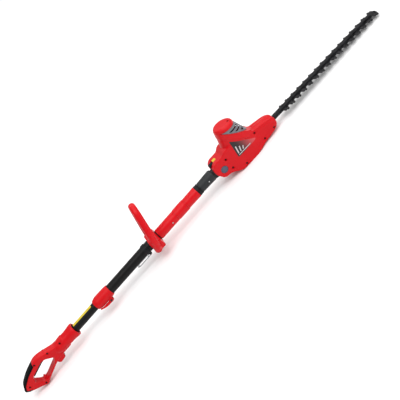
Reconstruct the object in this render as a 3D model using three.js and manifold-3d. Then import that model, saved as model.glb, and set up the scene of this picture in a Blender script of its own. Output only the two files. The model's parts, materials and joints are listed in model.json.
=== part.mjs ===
// A telescopic electric pole hedge trimmer, in millimetres, +Z up, blade towards +X.
// Working frame: the pole's axis is the X axis and x = 0 is the head's tilt pivot.
// The last lines move the whole model so that its origin is the middle of its base.
import * as THREE from "three";
import { mergeVertices } from "three/addons/utils/BufferGeometryUtils.js";
import Module from "manifold-3d";

const wasm = await Module();
wasm.setup();

// ---------------------------------------------------------------- driving dimensions
const GAP = 0.3; // between pieces that touch
const RUN = 0.6; // between pieces that move past each other
const WALL = 2.6; // moulded housings

// Pole tubes
const OUTER_R = 17.5;
const INNER_R = 14.5;
const TUBE_WALL = 1.5;
const BUSH_LENGTH = 46;
const INNER_OVERLAP = 370; // inner tube inside the outer tube, as drawn
const INNER_IN_HANDLE = 78;
const EXPOSED = 101; // inner tube seen between the handle and the clamp
const LABEL_LENGTH = 86;
const LABEL_WIDTH = 12;
const LABEL_THICK = 0.6;

// Pieces along the pole, from the pivot back to the rear handle
const KNUCKLE_REACH = 36;
const ADAPTER_LENGTH = 61;
const RING_LENGTH = 15;
const SLEEVE_FRONT = 54;
const SLEEVE_COLLAR = 48;
const SLEEVE_REAR = 85;
const LOOP_CLAMP = 50;
const TUBE_SHOWN = 185;
const CLAMP_LENGTH = 72;

// Telescope clamp
const CLAMP_R = 22;
const LEVER_LENGTH = 44;
const LEVER_WIDTH = 15;
const LEVER_ROLL = 30; // degrees round the tube, towards -Y
const PIN_R = 2;

// Rear handle
const HANDLE_HALF = 16;
const RIM_R = 25.5;
const BARREL_R = 22.5;
const RUBBER_THICK = 7;
const TRIGGER_HALF = 9;
const BUTTON_R = 6;

// Loop handle
const LOOP_LEAN = 18; // degrees forward
const LOOP_HEIGHT = 142;
const LOOP_HALF = 50;
const LOOP_TUBE_R = 11;
const SADDLE_HALF = 44;

// Strap band and hook
const BAND_LENGTH = 14;
const HOOK_LENGTH = 62;
const HOOK_WIDTH = 18;
const HOOK_THICK = 2.4;

// Adapter and tilt pivot
const ADAPTER_R = 20;
const TONGUE_HALF = 10;
const TONGUE_R = 17;
const PIVOT_DROP = 8; // pivot below the pole axis
const PIVOT_R = 5;
const CAP_R = 12.5;
const HEAD_DROOP = 2; // degrees, nose down
const LATCH_TRAVEL = 5;

// Head, in its own frame: x forward and z up from the pivot line
const KNUCKLE_HALF = 27;
const BODY_HALF = 33;
const NOSE_HALF = 25;
const NOSE_END = 232;
const HEAD_FLOOR = -58;
const MOTOR_X = 92;
const TOWER_R = 36;
const TOWER_TOP = 86;
const TOWER_TILT = 8; // degrees, front edge of the tower's top lower
const END_CAP_HEIGHT = 15;

// Motor
const MOTOR_R = 24;
const MOTOR_BOTTOM = 26;
const MOTOR_TOP = 80;
const ROTOR_R = 14;
const SHAFT_R = 3;
const RACE_R = 7; // outside of the bearings
const FAN_R = 20;
const FAN_BLADES = 7;

// Gearbox
const PINION_TEETH = 9;
const GEAR_TEETH = 45;
const MODULE = 1;
const BACKLASH = 0.5;
const GEAR_THICK = 7;
const GEAR_Z = -4; // middle of the gear
const ECCENTRIC_R = 8;
const ECCENTRICITY = 5; // half the stroke of each blade

// Blade
const BLADE_Z = -25; // between the two blades
const BLADE_THICK = 2.4;
const BLADE_SPINE = 9; // half width
const TOOTH_REACH = 26;
const TOOTH_COUNT = 16;
const TOOTH_PITCH = 27.8;
const FIRST_TOOTH = 278;
const TOOTH_SHIFT = 9; // lower teeth behind the upper ones
const YOKE_HALF = 18.5;
const BAR_HALF = 7;
const BAR_HEIGHT = 9;
const BLADE_BOLTS = 3;
const BOLT_R = 2.5;

// ---------------------------------------------------------------- places along the pole
const adapterFront = -KNUCKLE_REACH;
const adapterBack = adapterFront - ADAPTER_LENGTH;
const ringBack = adapterBack - RING_LENGTH;
const collarFront = ringBack - SLEEVE_FRONT;
const collarBack = collarFront - SLEEVE_COLLAR;
const sleeveBack = collarBack - SLEEVE_REAR;
const loopFront = sleeveBack - 4;
const loopBack = loopFront - LOOP_CLAMP;
const clampFront = loopBack - TUBE_SHOWN;
const clampBack = clampFront - CLAMP_LENGTH;
const rimX = clampBack - EXPOSED;
const innerBore = OUTER_R - TUBE_WALL;
const gearX = MOTOR_X + (MODULE * (PINION_TEETH + GEAR_TEETH)) / 2 + BACKLASH / 2;
const barFrom = gearX + (MODULE * GEAR_TEETH) / 2 + 6;
const bladeEnd = FIRST_TOOTH + (TOOTH_COUNT - 1) * TOOTH_PITCH + 16;
const barBottom = BLADE_Z + BLADE_THICK + GAP + GAP / 2;

// ---------------------------------------------------------------- materials
const finish = (color, roughness, metalness = 0) =>
  new THREE.MeshStandardMaterial({ color, roughness, metalness });
const red = finish(0xd3141c, 0.35);
const black = finish(0x1d1d1f, 0.5);
const tubeBlack = finish(0x1b1b1c, 0.4, 0.3);
const darkGrey = finish(0x35373a, 0.5);
const ventGrey = finish(0x6c6a71, 0.45);
const rubber = finish(0x0c0c0c, 0.85);
const steel = finish(0xb4b6b8, 0.3, 0.9);
const blackSteel = finish(0x202123, 0.4, 0.8);
const brass = finish(0xb08d4a, 0.35, 0.9);
const copper = finish(0xa8622f, 0.4, 0.8);
const yellow = finish(0xdcbe28, 0.5);

// ---------------------------------------------------------------- solid helpers
const { degToRad } = THREE.MathUtils;
const AXES = {
  x: new THREE.Matrix4().makeBasis(
    new THREE.Vector3(0, 1, 0),
    new THREE.Vector3(0, 0, 1),
    new THREE.Vector3(1, 0, 0),
  ),
  y: new THREE.Matrix4().makeBasis(
    new THREE.Vector3(1, 0, 0),
    new THREE.Vector3(0, 0, 1),
    new THREE.Vector3(0, -1, 0),
  ),
  z: new THREE.Matrix4(),
};

// A closed geometry as a solid that can be cut and joined.
function solidOf(geometry) {
  const bare = geometry.index ? geometry.toNonIndexed() : geometry.clone();
  bare.deleteAttribute("normal");
  bare.deleteAttribute("uv");
  const merged = mergeVertices(bare, 1e-4);
  return new wasm.Manifold(
    new wasm.Mesh({
      numProp: 3,
      vertProperties: merged.attributes.position.array,
      triVerts: new Uint32Array(merged.index.array),
    }),
  );
}

function geometryOf(solid) {
  const { vertProperties, triVerts } = solid.getMesh();
  const geometry = new THREE.BufferGeometry();
  geometry.setAttribute("position", new THREE.BufferAttribute(vertProperties, 3));
  geometry.setIndex(new THREE.BufferAttribute(triVerts, 1));
  const faceted = geometry.toNonIndexed();
  faceted.computeVertexNormals();
  return faceted;
}

// One node.
function piece(name, material, solid) {
  const mesh = new THREE.Mesh(geometryOf(solid), material);
  mesh.name = name;
  return mesh;
}

// The same outline pushed along an axis: drawn in YZ for x, in XZ for y, in XY for z.
function prism(axis, shape, from, to, curveSegments = 3) {
  const depth = to - from;
  const geometry = new THREE.ExtrudeGeometry(shape, { depth, bevelEnabled: false, curveSegments });
  geometry.applyMatrix4(AXES[axis]);
  const start = axis === "y" ? to : from;
  geometry.translate(axis === "x" ? start : 0, axis === "y" ? start : 0, axis === "z" ? start : 0);
  return solidOf(geometry);
}

function block(x0, x1, y0, y1, z0, z1) {
  const geometry = new THREE.BoxGeometry(x1 - x0, y1 - y0, z1 - z0);
  geometry.translate((x0 + x1) / 2, (y0 + y1) / 2, (z0 + z1) / 2);
  return solidOf(geometry);
}

// A round bar or cone along an axis; at gives its centre in the two other axes, in X, Y, Z order.
function rod(axis, radius, from, to, { at = [0, 0], endRadius = radius, sides = 20 } = {}) {
  const geometry = new THREE.CylinderGeometry(endRadius, radius, to - from, sides);
  geometry.translate(0, (from + to) / 2, 0);
  if (axis === "x") geometry.rotateZ(-Math.PI / 2).translate(0, at[0], at[1]);
  if (axis === "y") geometry.translate(at[0], 0, at[1]);
  if (axis === "z") geometry.rotateX(Math.PI / 2).translate(at[0], at[1], 0);
  return solidOf(geometry);
}

function pipe(axis, outer, inner, from, to, options = {}) {
  const bore = { ...options, endRadius: inner };
  return rod(axis, outer, from, to, options).subtract(rod(axis, inner, from - 1, to + 1, bore));
}

// A shape turned round the pole: profile points are [radius, x], and the loop closes on itself.
function turned(profile, sides = 24) {
  const points = [...profile, profile[0]].map(([r, x]) => new THREE.Vector2(r, x));
  return solidOf(new THREE.LatheGeometry(points, sides).rotateZ(-Math.PI / 2));
}

// An outline of corners [u, v, rounding].
function outline(corners) {
  const shape = new THREE.Shape();
  const count = corners.length;
  const point = (i) => new THREE.Vector2(...corners[(i + count) % count]);
  corners.forEach(([, , wanted = 0], i) => {
    const here = point(i);
    const shortest = Math.min(here.distanceTo(point(i - 1)), here.distanceTo(point(i + 1)));
    const rounding = Math.min(wanted, 0.48 * shortest);
    const towards = (other) =>
      here.clone().addScaledVector(other.clone().sub(here).normalize(), rounding);
    const start = towards(point(i - 1));
    const end = towards(point(i + 1));
    if (i === 0) shape.moveTo(start.x, start.y);
    else shape.lineTo(start.x, start.y);
    if (rounding > 0) shape.quadraticCurveTo(here.x, here.y, end.x, end.y);
  });
  shape.closePath();
  return shape;
}

// The corners of an outline moved inwards by a distance, or outwards if it is negative.
function inset(corners, distance) {
  const count = corners.length;
  const points = corners.map(([u, v]) => new THREE.Vector2(u, v));
  const turn = Math.sign(THREE.ShapeUtils.area(points));
  return corners.map(([u, v, rounding = 0], i) => {
    const before = points[i].clone().sub(points[(i + count - 1) % count]).normalize();
    const after = points[(i + 1) % count].clone().sub(points[i]).normalize();
    const sum = new THREE.Vector2(-before.y - after.y, before.x + after.x);
    const reach = (distance * turn) / (1 + before.dot(after));
    const corner = Math.max(rounding - Math.abs(distance) * 0.5, 0);
    return [u + sum.x * reach, v + sum.y * reach, rounding > 0 ? corner : 0];
  });
}

const shifted = (corners, du, dv = 0) => corners.map(([u, v, r]) => [u + du, v + dv, r]);

// A closed skin over rings of points, every ring with the same count, in order along its path.
function loft(rings) {
  const count = rings[0].length;
  const middle = (ring) =>
    ring.reduce((sum, p) => sum.add(p), new THREE.Vector3()).divideScalar(ring.length);
  const positions = [];
  const triangle = (...corners) => corners.forEach((p) => positions.push(p.x, p.y, p.z));
  const first = middle(rings[0]);
  const last = middle(rings[rings.length - 1]);
  for (let i = 0; i < count; i++) {
    const next = (i + 1) % count;
    triangle(first, rings[0][next], rings[0][i]);
    triangle(last, rings[rings.length - 1][i], rings[rings.length - 1][next]);
    for (let k = 0; k + 1 < rings.length; k++) {
      triangle(rings[k][i], rings[k][next], rings[k + 1][next]);
      triangle(rings[k][i], rings[k + 1][next], rings[k + 1][i]);
    }
  }
  const geometry = new THREE.BufferGeometry();
  geometry.setAttribute("position", new THREE.Float32BufferAttribute(positions, 3));
  return solidOf(geometry);
}

// A level ellipse round (x, z), counter-clockwise from above, tilted down towards +X.
function ellipse(x, z, halfX, halfY, tilt = 0, sides = 24) {
  return Array.from({ length: sides }, (_, i) => {
    const angle = (i / sides) * 2 * Math.PI;
    const along = halfX * Math.cos(angle);
    const drop = along * Math.tan(degToRad(tilt));
    return new THREE.Vector3(x + along, halfY * Math.sin(angle), z - drop);
  });
}

// A round or flat bar that follows a curve.
function swept(curve, halfWidth, halfHeight, steps, sides = 8) {
  const section = new THREE.Shape();
  for (let i = 0; i < sides; i++) {
    const angle = (i / sides) * 2 * Math.PI;
    const u = halfWidth * Math.cos(angle);
    const v = halfHeight * Math.sin(angle);
    if (i === 0) section.moveTo(u, v);
    else section.lineTo(u, v);
  }
  section.closePath();
  return solidOf(new THREE.ExtrudeGeometry(section, { steps, extrudePath: curve }));
}

// A coil spring that stands along z.
function coil(radius, wire, height, turns) {
  const steps = turns * 7;
  const points = Array.from({ length: steps + 1 }, (_, i) => {
    const angle = (i / steps) * turns * 2 * Math.PI;
    const z = wire + (i / steps) * (height - 2 * wire);
    return new THREE.Vector3(radius * Math.cos(angle), radius * Math.sin(angle), z);
  });
  return swept(new THREE.CatmullRomCurve3(points), wire, wire, steps, 4);
}

// A screw with its head at headY, its shank across the two half shells.
function crossScrew(x, z, headY, endY, radius = 1.6, headRadius = 3) {
  const way = Math.sign(endY - headY);
  const neck = headY + way * 2;
  const spans = (a, b) => [Math.min(a, b), Math.max(a, b)];
  const head = rod("y", headRadius, ...spans(headY, neck), { at: [x, z], sides: 8 });
  return head.add(rod("y", radius, ...spans(neck - way * 0.5, endY), { at: [x, z], sides: 6 }));
}

const HALF_SPACE = 2000;
const leftHalf = () => block(-HALF_SPACE, HALF_SPACE, GAP / 2, HALF_SPACE, -HALF_SPACE, HALF_SPACE);
const rightHalf = () => block(-HALF_SPACE, HALF_SPACE, -HALF_SPACE, -GAP / 2, -HALF_SPACE, HALF_SPACE);

// ---------------------------------------------------------------- pole
function poleTubes(screwThread) {
  const outerBack = clampBack + 11;
  const innerFront = outerBack + INNER_OVERLAP;
  const innerBack = rimX - INNER_IN_HANDLE;
  const bushEnd = outerBack + BUSH_LENGTH;
  const labelBack = rimX + 4;
  const labelTop = INNER_R - GAP / 2;
  const strip = (from, to, half, low, high) =>
    pipe("x", high, low, from, to, { sides: 32 }).intersect(block(from, to, -half, half, 0, OUTER_R));
  const seatR = labelTop - LABEL_THICK - GAP / 2;
  const trough = strip(innerBack + 10, innerFront - 10, LABEL_WIDTH / 2 + GAP, seatR, OUTER_R);
  return [
    piece("outer_tube", tubeBlack,
      pipe("x", OUTER_R, innerBore, outerBack, adapterBack - GAP, { sides: 32 }).subtract(screwThread)),
    piece("inner_tube", tubeBlack,
      pipe("x", INNER_R, INNER_R - TUBE_WALL * 1.4, innerBack, innerFront, { sides: 32 }).subtract(trough)),
    piece("guide_bush", black,
      pipe("x", innerBore - GAP, INNER_R + RUN, outerBack + GAP, bushEnd, { sides: 28 })),
    piece("scale_label", yellow,
      strip(labelBack, labelBack + LABEL_LENGTH, LABEL_WIDTH / 2, labelTop - LABEL_THICK, labelTop)),
  ];
}

function sleeve() {
  const bore = OUTER_R + GAP;
  const screwX = sleeveBack + 60;
  const rear = turned([[bore, sleeveBack], [19.2, sleeveBack], [19.2, collarBack - 2],
    [18.6, collarBack - GAP], [bore, collarBack - GAP]]);
  const collar = turned([[bore, collarBack], [20.4, collarBack], [20.4, collarFront - 2],
    [19.8, collarFront - GAP], [bore, collarFront - GAP]]);
  const front = turned([[bore, collarFront], [19, collarFront], [19.9, ringBack - GAP],
    [bore, ringBack - GAP]]);
  const ring = turned([[bore, ringBack], [19.3, ringBack], [18.8, ringBack + 6], [19.4, adapterBack - GAP],
    [bore, adapterBack - GAP]]);
  const hole = rod("y", 2.6, -30, -OUTER_R, { at: [screwX, 0], sides: 12 });
  const thread = rod("y", 1.7, -22, -12, { at: [screwX, 0], sides: 12 });
  return {
    thread,
    pieces: [
      piece("sleeve_rear", red, rear.subtract(hole)),
      piece("sleeve_collar", red, collar),
      piece("sleeve_front", red, front),
      piece("seal_ring", black, ring),
      piece("sleeve_screw", steel, crossScrew(screwX, 0, -19.8, -innerBore, 1.4, 2.3)),
    ],
  };
}

// ---------------------------------------------------------------- telescope clamp
function telescopeClamp() {
  const bore = OUTER_R + GAP;
  const mouth = INNER_R + RUN;
  const seat = clampBack + 11 - GAP;
  const body = turned([[mouth, clampBack], [18, clampBack], [CLAMP_R, clampBack + 14],
    [CLAMP_R, clampFront - 18], [19, clampFront - 2], [bore, clampFront - 1], [bore, seat],
    [mouth, seat]]);
  const pinX = clampFront - 22;
  const pinZ = -CLAMP_R - 6;
  const gapHalf = LEVER_WIDTH / 2 + RUN;
  const ear = outline([[pinX - 8, -19], [pinX - 5, pinZ - 4, 3], [pinX + 5, pinZ - 4, 3], [pinX + 8, -19]]);
  const ears = prism("y", ear, -gapHalf - 3, -gapHalf).add(prism("y", ear, gapHalf, gapHalf + 3));
  const eye = rod("y", PIN_R + GAP, -30, 30, { at: [pinX, pinZ], sides: 14 });
  const end = pinX - LEVER_LENGTH;
  const leverShape = outline([[pinX + 4, pinZ - 3, 2], [pinX + 4, pinZ + 3.5, 3], [pinX - 4, pinZ + 5],
    [end + 8, pinZ + 5], [end - 2, pinZ + 8, 2], [end - 4, pinZ + 4, 3], [end + 16, pinZ - 4, 8],
    [pinX, pinZ - 5, 4]]);
  const lever = prism("y", leverShape, -LEVER_WIDTH / 2, LEVER_WIDTH / 2).subtract(eye);
  const pinEnd = gapHalf + 4;
  const pin = rod("y", PIN_R, -pinEnd, pinEnd, { at: [pinX, pinZ], sides: 14 })
    .add(rod("y", 3.6, -pinEnd - 2, -pinEnd + 0.4, { at: [pinX, pinZ], sides: 14 }));
  const group = new THREE.Group();
  group.rotation.x = -degToRad(LEVER_ROLL);
  const barrel = rod("x", bore, seat, clampFront, { sides: 28 });
  group.add(
    piece("clamp_collar", red, body.add(ears).subtract(eye).subtract(barrel)),
    piece("clamp_lever", red, lever),
    piece("clamp_pin", blackSteel, pin),
  );
  return group;
}

// ---------------------------------------------------------------- rear handle
// Corners of the D, measured back from the rim, the opening and the trigger.
const handleCorners = [[-50, BARREL_R], [-84, 19.5, 14], [-142, 40, 10], [-162, 42, 10], [-216, 26, 20],
  [-254, 6, 10], [-268, -13, 5], [-258, -25, 5], [-199, -58, 9], [-188, -51, 6], [-125, -27, 6],
  [-92, -BARREL_R, 4], [-50, -BARREL_R]];
const openingCorners = [[-114, -4, 5], [-137, 17, 5], [-152, 21, 5], [-207, 5, 5], [-221, -16, 5],
  [-205, -38, 5], [-186, -41, 6], [-131, -21, 6]];
const lugCorners = [[-122, -14], [-122, -34, 6], [-117, -40, 5], [-96, -38, 6], [-90, -30, 6], [-88, -14]];
const triggerCorners = [[-142, 22, 2], [-144, 14, 3], [-152, 13, 3], [-206, -2, 3], [-212, 4, 4],
  [-206, 11, 3], [-152, 28, 2]];
const triggerRoom = [[-140, 37], [-140, 12], [-152, 11.5], [-207, -4], [-214, 4], [-207, 13], [-152, 38]];
const TRIGGER_PIN = [-205, 4.5];
const HANDLE_SCREWS = [[-66, 18.5], [-116, 24], [-170, 33], [-243, -12], [-202, -46]];

// The handle's outer form, drawn smaller all round by a distance.
function handleForm(less) {
  const half = HANDLE_HALF - less;
  const form = prism("y", outline(shifted(inset(handleCorners, less), rimX)), -half, half);
  const barrel = turned([[0, rimX - 96 + less], [16, rimX - 96 + less], [BARREL_R - less, rimX - 80],
    [BARREL_R - less, rimX - 30], [RIM_R - less, rimX - 8], [RIM_R - 1.5 - less, rimX - less],
    [0, rimX - less]], 24);
  return form.add(barrel);
}

function handleShells(trigger) {
  const lug = prism("y", outline(shifted(lugCorners, rimX)), -13, 13);
  const ringWall = prism("y", outline(shifted(inset(openingCorners, -WALL), rimX)), -30, 30);
  const opening = prism("y", outline(shifted(openingCorners, rimX)), -30, 30);
  const tubeSocket = rod("x", INNER_R + WALL + GAP, rimX - INNER_IN_HANDLE - 4, rimX, { sides: 24 });
  const tubeBore = rod("x", INNER_R + GAP, rimX - INNER_IN_HANDLE - GAP, rimX + 1, { sides: 32 });
  const lip = rod("x", INNER_R + 2, rimX - 14, rimX + 1, { endRadius: INNER_R + 5, sides: 28 });
  const hook = prism("y", outline([[-197, -40], [-193, -28, 1.5], [-188, -27, 1.5], [-187, -40]]
    .map(([u, v, r]) => [u + rimX, v, r])), -5, 5);
  const bosses = HANDLE_SCREWS.map(([x, z]) =>
    rod("y", 4, -HANDLE_HALF + 1, HANDLE_HALF - 1, { at: [x + rimX, z], sides: 8 }));
  const screwBores = HANDLE_SCREWS.map(([x, z]) =>
    rod("y", 1.6 + GAP, -HANDLE_HALF - 4, HANDLE_HALF - 4, { at: [x + rimX, z], sides: 8 })
      .add(rod("y", 3 + GAP, -30, -HANDLE_HALF + 3 + GAP, { at: [x + rimX, z], sides: 8 })));
  const cavity = handleForm(WALL).subtract(ringWall).subtract(tubeSocket);
  let body = handleForm(0).add(lug).subtract(cavity);
  bosses.forEach((boss) => (body = body.add(boss.intersect(handleForm(1)))));
  body = body.subtract(opening).add(hook).subtract(tubeBore).subtract(lip);
  screwBores.forEach((bore) => (body = body.subtract(bore)));
  return body.subtract(trigger.space).subtract(rubberForm(RUBBER_THICK + GAP));
}

// The back edge of the D down to a depth, which the rubber pad takes.
function rubberForm(depth) {
  const deep = prism("y", outline(shifted(inset(handleCorners, depth), rimX)), -40, 40);
  const zone = prism("y", outline([[-174, 80], [-178, 20], [-222, 0], [-246, -30], [-300, -30], [-300, 80]]
    .map(([u, v]) => [u + rimX, v])), -40, 40);
  return zone.subtract(deep);
}

function triggerParts() {
  const [pinX, pinZ] = [TRIGGER_PIN[0] + rimX, TRIGGER_PIN[1]];
  const blade = prism("y", outline(shifted(triggerCorners, rimX)), -TRIGGER_HALF, TRIGGER_HALF);
  const room = prism("y", outline(shifted(triggerRoom, rimX)), -TRIGGER_HALF - RUN, TRIGGER_HALF + RUN);
  const eye = rod("y", PIN_R + GAP, -30, 30, { at: [pinX, pinZ], sides: 12 });
  const pinSpace = rod("y", PIN_R + GAP, -13, 13, { at: [pinX, pinZ], sides: 12 });
  const springX = rimX - 160;
  const nest = 24.6;
  const springNest = rod("z", 4.6, nest - 6, nest + 20, { at: [springX, 0], sides: 12 });
  return {
    blade: blade.subtract(eye).subtract(springNest),
    pin: rod("y", PIN_R, -12.6, 12.6, { at: [pinX, pinZ], sides: 12 }),
    spring: coil(3.4, 0.6, 12, 3).translate(springX, 0, nest - 5.6),
    space: room.add(pinSpace),
  };
}

function rearHandle() {
  const trigger = triggerParts();
  const inletHole = block(rimX - 119, rimX - 93, -10, 10, -60, -15);
  const inletRecess = block(rimX - 115, rimX - 97, -6.5, 6.5, -60, -27);
  const inlet = block(rimX - 119 + GAP, rimX - 93 - GAP, -10 + GAP, 10 - GAP, -37, -18);
  const buttonX = rimX - 128;
  const buttonZ = 26;
  const buttonSpace = rod("y", BUTTON_R + RUN, 6, 30, { at: [buttonX, buttonZ], sides: 20 })
    .add(rod("y", BUTTON_R + 2 + RUN, 3, HANDLE_HALF - WALL + GAP, { at: [buttonX, buttonZ], sides: 20 }));
  const button = rod("y", BUTTON_R, 9, HANDLE_HALF + 3, { at: [buttonX, buttonZ], sides: 20 })
    .add(rod("y", BUTTON_R + 2, 9, HANDLE_HALF - WALL - RUN, { at: [buttonX, buttonZ], sides: 20 }));
  const shells = handleShells(trigger).subtract(inletHole).subtract(buttonSpace);
  const contacts = [-4, 4].reduce(
    (solid, y) => solid.add(rod("z", 1.6, -35, -29, { at: [rimX - 106, y], sides: 10 })),
    block(rimX - 111, rimX - 101, -6, 6, -29.5, -27 - GAP));
  const pad = handleForm(0).intersect(rubberForm(RUBBER_THICK));
  return [
    piece("handle_shell_left", red, shells.intersect(leftHalf())),
    piece("handle_shell_right", red, shells.intersect(rightHalf())),
    piece("grip_pad", rubber, pad),
    piece("trigger", black, trigger.blade),
    piece("trigger_pin", steel, trigger.pin),
    piece("trigger_spring", steel, trigger.spring),
    piece("lock_off_button", black, button),
    piece("power_switch", black, block(rimX - 107, rimX - 86, -8, 8, -10, 10)),
    piece("inlet_block", black, inlet.subtract(inletRecess)),
    piece("inlet_contacts", brass, contacts),
  ];
}

// ---------------------------------------------------------------- loop handle
function loopHandle() {
  const middle = (loopFront + loopBack) / 2;
  const lean = Math.tan(degToRad(LOOP_LEAN));
  const place = ([y, z]) => new THREE.Vector3(middle + z * lean, y, z);
  const top = LOOP_HEIGHT - LOOP_TUBE_R + 8;
  const half = [[LOOP_HALF - 8, -12], [LOOP_HALF, 8], [LOOP_HALF + 2, 36], [LOOP_HALF - 8, 76],
    [LOOP_HALF - 22, top - 20], [13, top - 3]];
  const other = half.map(([y, z]) => [-y, z]).reverse();
  const arch = new THREE.CatmullRomCurve3([...half, [0, top], ...other].map(place));
  const base = [[LOOP_HALF - 8, -12], [LOOP_HALF - 20, -18], [0, -20], [20 - LOOP_HALF, -18],
    [8 - LOOP_HALF, -12]];
  const under = new THREE.CatmullRomCurve3(base.map(place));
  const saddle = prism("x", outline([[-SADDLE_HALF, -24, 8], [SADDLE_HALF, -24, 8], [SADDLE_HALF, 22, 9],
    [-SADDLE_HALF, 22, 9]]), loopBack + 12, loopFront);
  const whole = saddle.add(swept(arch, LOOP_TUBE_R + 1, LOOP_TUBE_R - 1, 28, 8))
    .add(swept(under, LOOP_TUBE_R, LOOP_TUBE_R, 8, 8))
    .subtract(rod("x", OUTER_R + GAP, loopBack - 60, loopFront + 60, { sides: 28 }));
  const boltX = middle + 4;
  const boltY = 24.5;
  const bolts = [["left", boltY], ["right", -boltY]].map(([side, y]) => ({
    side,
    bolt: rod("z", 2, -21, 14, { at: [boltX, y], sides: 10 })
      .add(rod("z", 3.8, -25, -20.6, { at: [boltX, y], sides: 10 })),
    hole: rod("z", 2 + GAP, -60, 14 + GAP, { at: [boltX, y], sides: 10 })
      .add(rod("z", 3.8 + GAP, -60, -20.6 + GAP, { at: [boltX, y], sides: 10 })),
  }));
  const drilled = bolts.reduce((solid, { hole }) => solid.subtract(hole), whole);
  const above = block(-HALF_SPACE, HALF_SPACE, -200, 200, GAP / 2, 400);
  const below = block(-HALF_SPACE, HALF_SPACE, -200, 200, -400, -GAP / 2);
  return [
    piece("loop_handle", red, drilled.intersect(above)),
    piece("loop_clamp", red, drilled.intersect(below)),
    ...bolts.map(({ side, bolt }) => piece(`loop_bolt_${side}`, blackSteel, bolt)),
  ];
}

// ---------------------------------------------------------------- strap band and hook
function strapHook() {
  const front = loopBack - 4;
  const back = front - BAND_LENGTH;
  const pinX = (front + back) / 2;
  const pinZ = -OUTER_R - 7;
  const lug = prism("y", outline([[back + 1, -18], [back + 3, pinZ - 3.4, 2], [front - 3, pinZ - 3.4, 2],
    [front - 1, -18]]), -4, 4);
  const eye = rod("y", 1.2 + GAP, -30, 30, { at: [pinX, pinZ], sides: 12 });
  const band = pipe("x", OUTER_R + 2.4, OUTER_R + GAP, back, front, { sides: 28 });
  const bore = rod("x", OUTER_R + GAP, back - 1, front + 1, { sides: 28 });
  const hookEnd = pinX - HOOK_LENGTH;
  const half = HOOK_WIDTH / 2;
  const plate = prism("z", outline([[pinX + 2.5, -half, 2], [pinX + 2.5, half, 2], [hookEnd + 8, half, 8],
    [hookEnd, 4, 2], [hookEnd, -4, 2], [hookEnd + 8, -half, 8]]),
  pinZ - HOOK_THICK / 2, pinZ + HOOK_THICK / 2);
  const slot = block(pinX - 10, pinX + 20, -4 - RUN, 4 + RUN, pinZ - 10, pinZ + 10);
  const loop = prism("z", outline([[pinX - 14, -5.5, 3], [pinX - 14, 5.5, 3], [hookEnd + 9, 5.5, 4],
    [hookEnd + 4, 0, 2], [hookEnd + 9, -5.5, 4]]), pinZ - 10, pinZ + 10);
  const knuckles = rod("y", 2.6, -half + 0.5, half - 0.5, { at: [pinX, pinZ], sides: 12 });
  const pin = rod("y", 1.2, -half - 1, half + 1, { at: [pinX, pinZ], sides: 12 });
  return [
    piece("strap_band", black, band.add(lug).subtract(bore).subtract(eye)),
    piece("strap_pin", steel, pin),
    piece("strap_hook", steel, plate.add(knuckles).subtract(slot).subtract(loop).subtract(eye)),
  ];
}

// ---------------------------------------------------------------- adapter
function adapter() {
  const spigot = rod("x", innerBore - GAP, adapterBack - 28, adapterBack + 1, { sides: 24 });
  const body = rod("x", OUTER_R + 0.4, adapterBack, adapterFront, { endRadius: ADAPTER_R, sides: 28 });
  const tongueShape = outline([[adapterFront - 12, -TONGUE_R + 2], [-9, -PIVOT_DROP - TONGUE_R, 4],
    [9, -PIVOT_DROP - TONGUE_R, 9], [TONGUE_R, -PIVOT_DROP, 9], [9, TONGUE_R - PIVOT_DROP, 9],
    [-9, TONGUE_R - PIVOT_DROP, 4], [adapterFront - 12, TONGUE_R - 3]]);
  const tongue = prism("y", tongueShape, -TONGUE_HALF, TONGUE_HALF);
  const eye = rod("y", PIVOT_R + GAP, -40, 40, { at: [0, -PIVOT_DROP], sides: 20 });
  const cable = rod("x", 6, adapterBack - 40, adapterFront - 20, { sides: 14 });
  const screwX = adapterBack + 35;
  const screwHole = rod("y", 3.2, -30, -16, { at: [screwX, 0], sides: 12 })
    .add(rod("y", 1.7, -20, -9, { at: [screwX, 0], sides: 12 }));
  const casting = body.add(tongue).add(spigot);
  return [
    piece("adapter", darkGrey, casting.subtract(eye).subtract(cable).subtract(screwHole)),
    piece("adapter_screw", steel, crossScrew(screwX, 0, -18.4, -9.5, 1.4, 2.8)),
  ];
}

// ---------------------------------------------------------------- head housing
const headSide = [[-31, -4, 8], [-29, 20, 8], [-14, 32, 8], [26, 33, 4], [36, 44, 6], [144, 44, 4],
  [150, 14, 8], [205, 6, 8], [NOSE_END, -4, 8], [NOSE_END, -34, 8], [206, -46, 6], [140, -53, 8],
  [112, HEAD_FLOOR, 8], [48, HEAD_FLOOR, 6], [30, -48, 6], [8, -35, 6], [-16, -33, 8]];
const headPlan = [[-34, -KNUCKLE_HALF + 3, 2], [-20, -KNUCKLE_HALF, 4], [24, -KNUCKLE_HALF, 6],
  [46, -BODY_HALF, 6], [128, -BODY_HALF, 10], [156, -NOSE_HALF, 8], [222, -NOSE_HALF + 2, 8], [234, -12, 4]];
const planMirror = headPlan.map(([x, y, r]) => [x, -y, r]).reverse();

function towerForm(less) {
  const bottom = ellipse(MOTOR_X + 1, 0, 57 - less, BODY_HALF - less);
  const belt = ellipse(MOTOR_X + 1, 34, 52 - less, TOWER_R - less, TOWER_TILT);
  const top = ellipse(MOTOR_X + 1, TOWER_TOP - less, TOWER_R - less, TOWER_R - less, TOWER_TILT);
  return loft([bottom, belt, top]);
}

function headForm(less) {
  const side = prism("y", outline(inset(headSide, less)), -60, 60);
  const plan = prism("z", outline(inset([...headPlan, ...planMirror], less)), -100, 100);
  return side.intersect(plan).add(towerForm(less));
}

// Everything above a plane that falls from the back of the tower to its front.
function aboveBelt(lift) {
  return prism("y", outline([[20, 90 + lift], [MOTOR_X - 44, 78 + lift], [162, 12 + lift], [200, 12 + lift],
    [200, 200], [20, 200]]), -80, 80);
}

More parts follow.
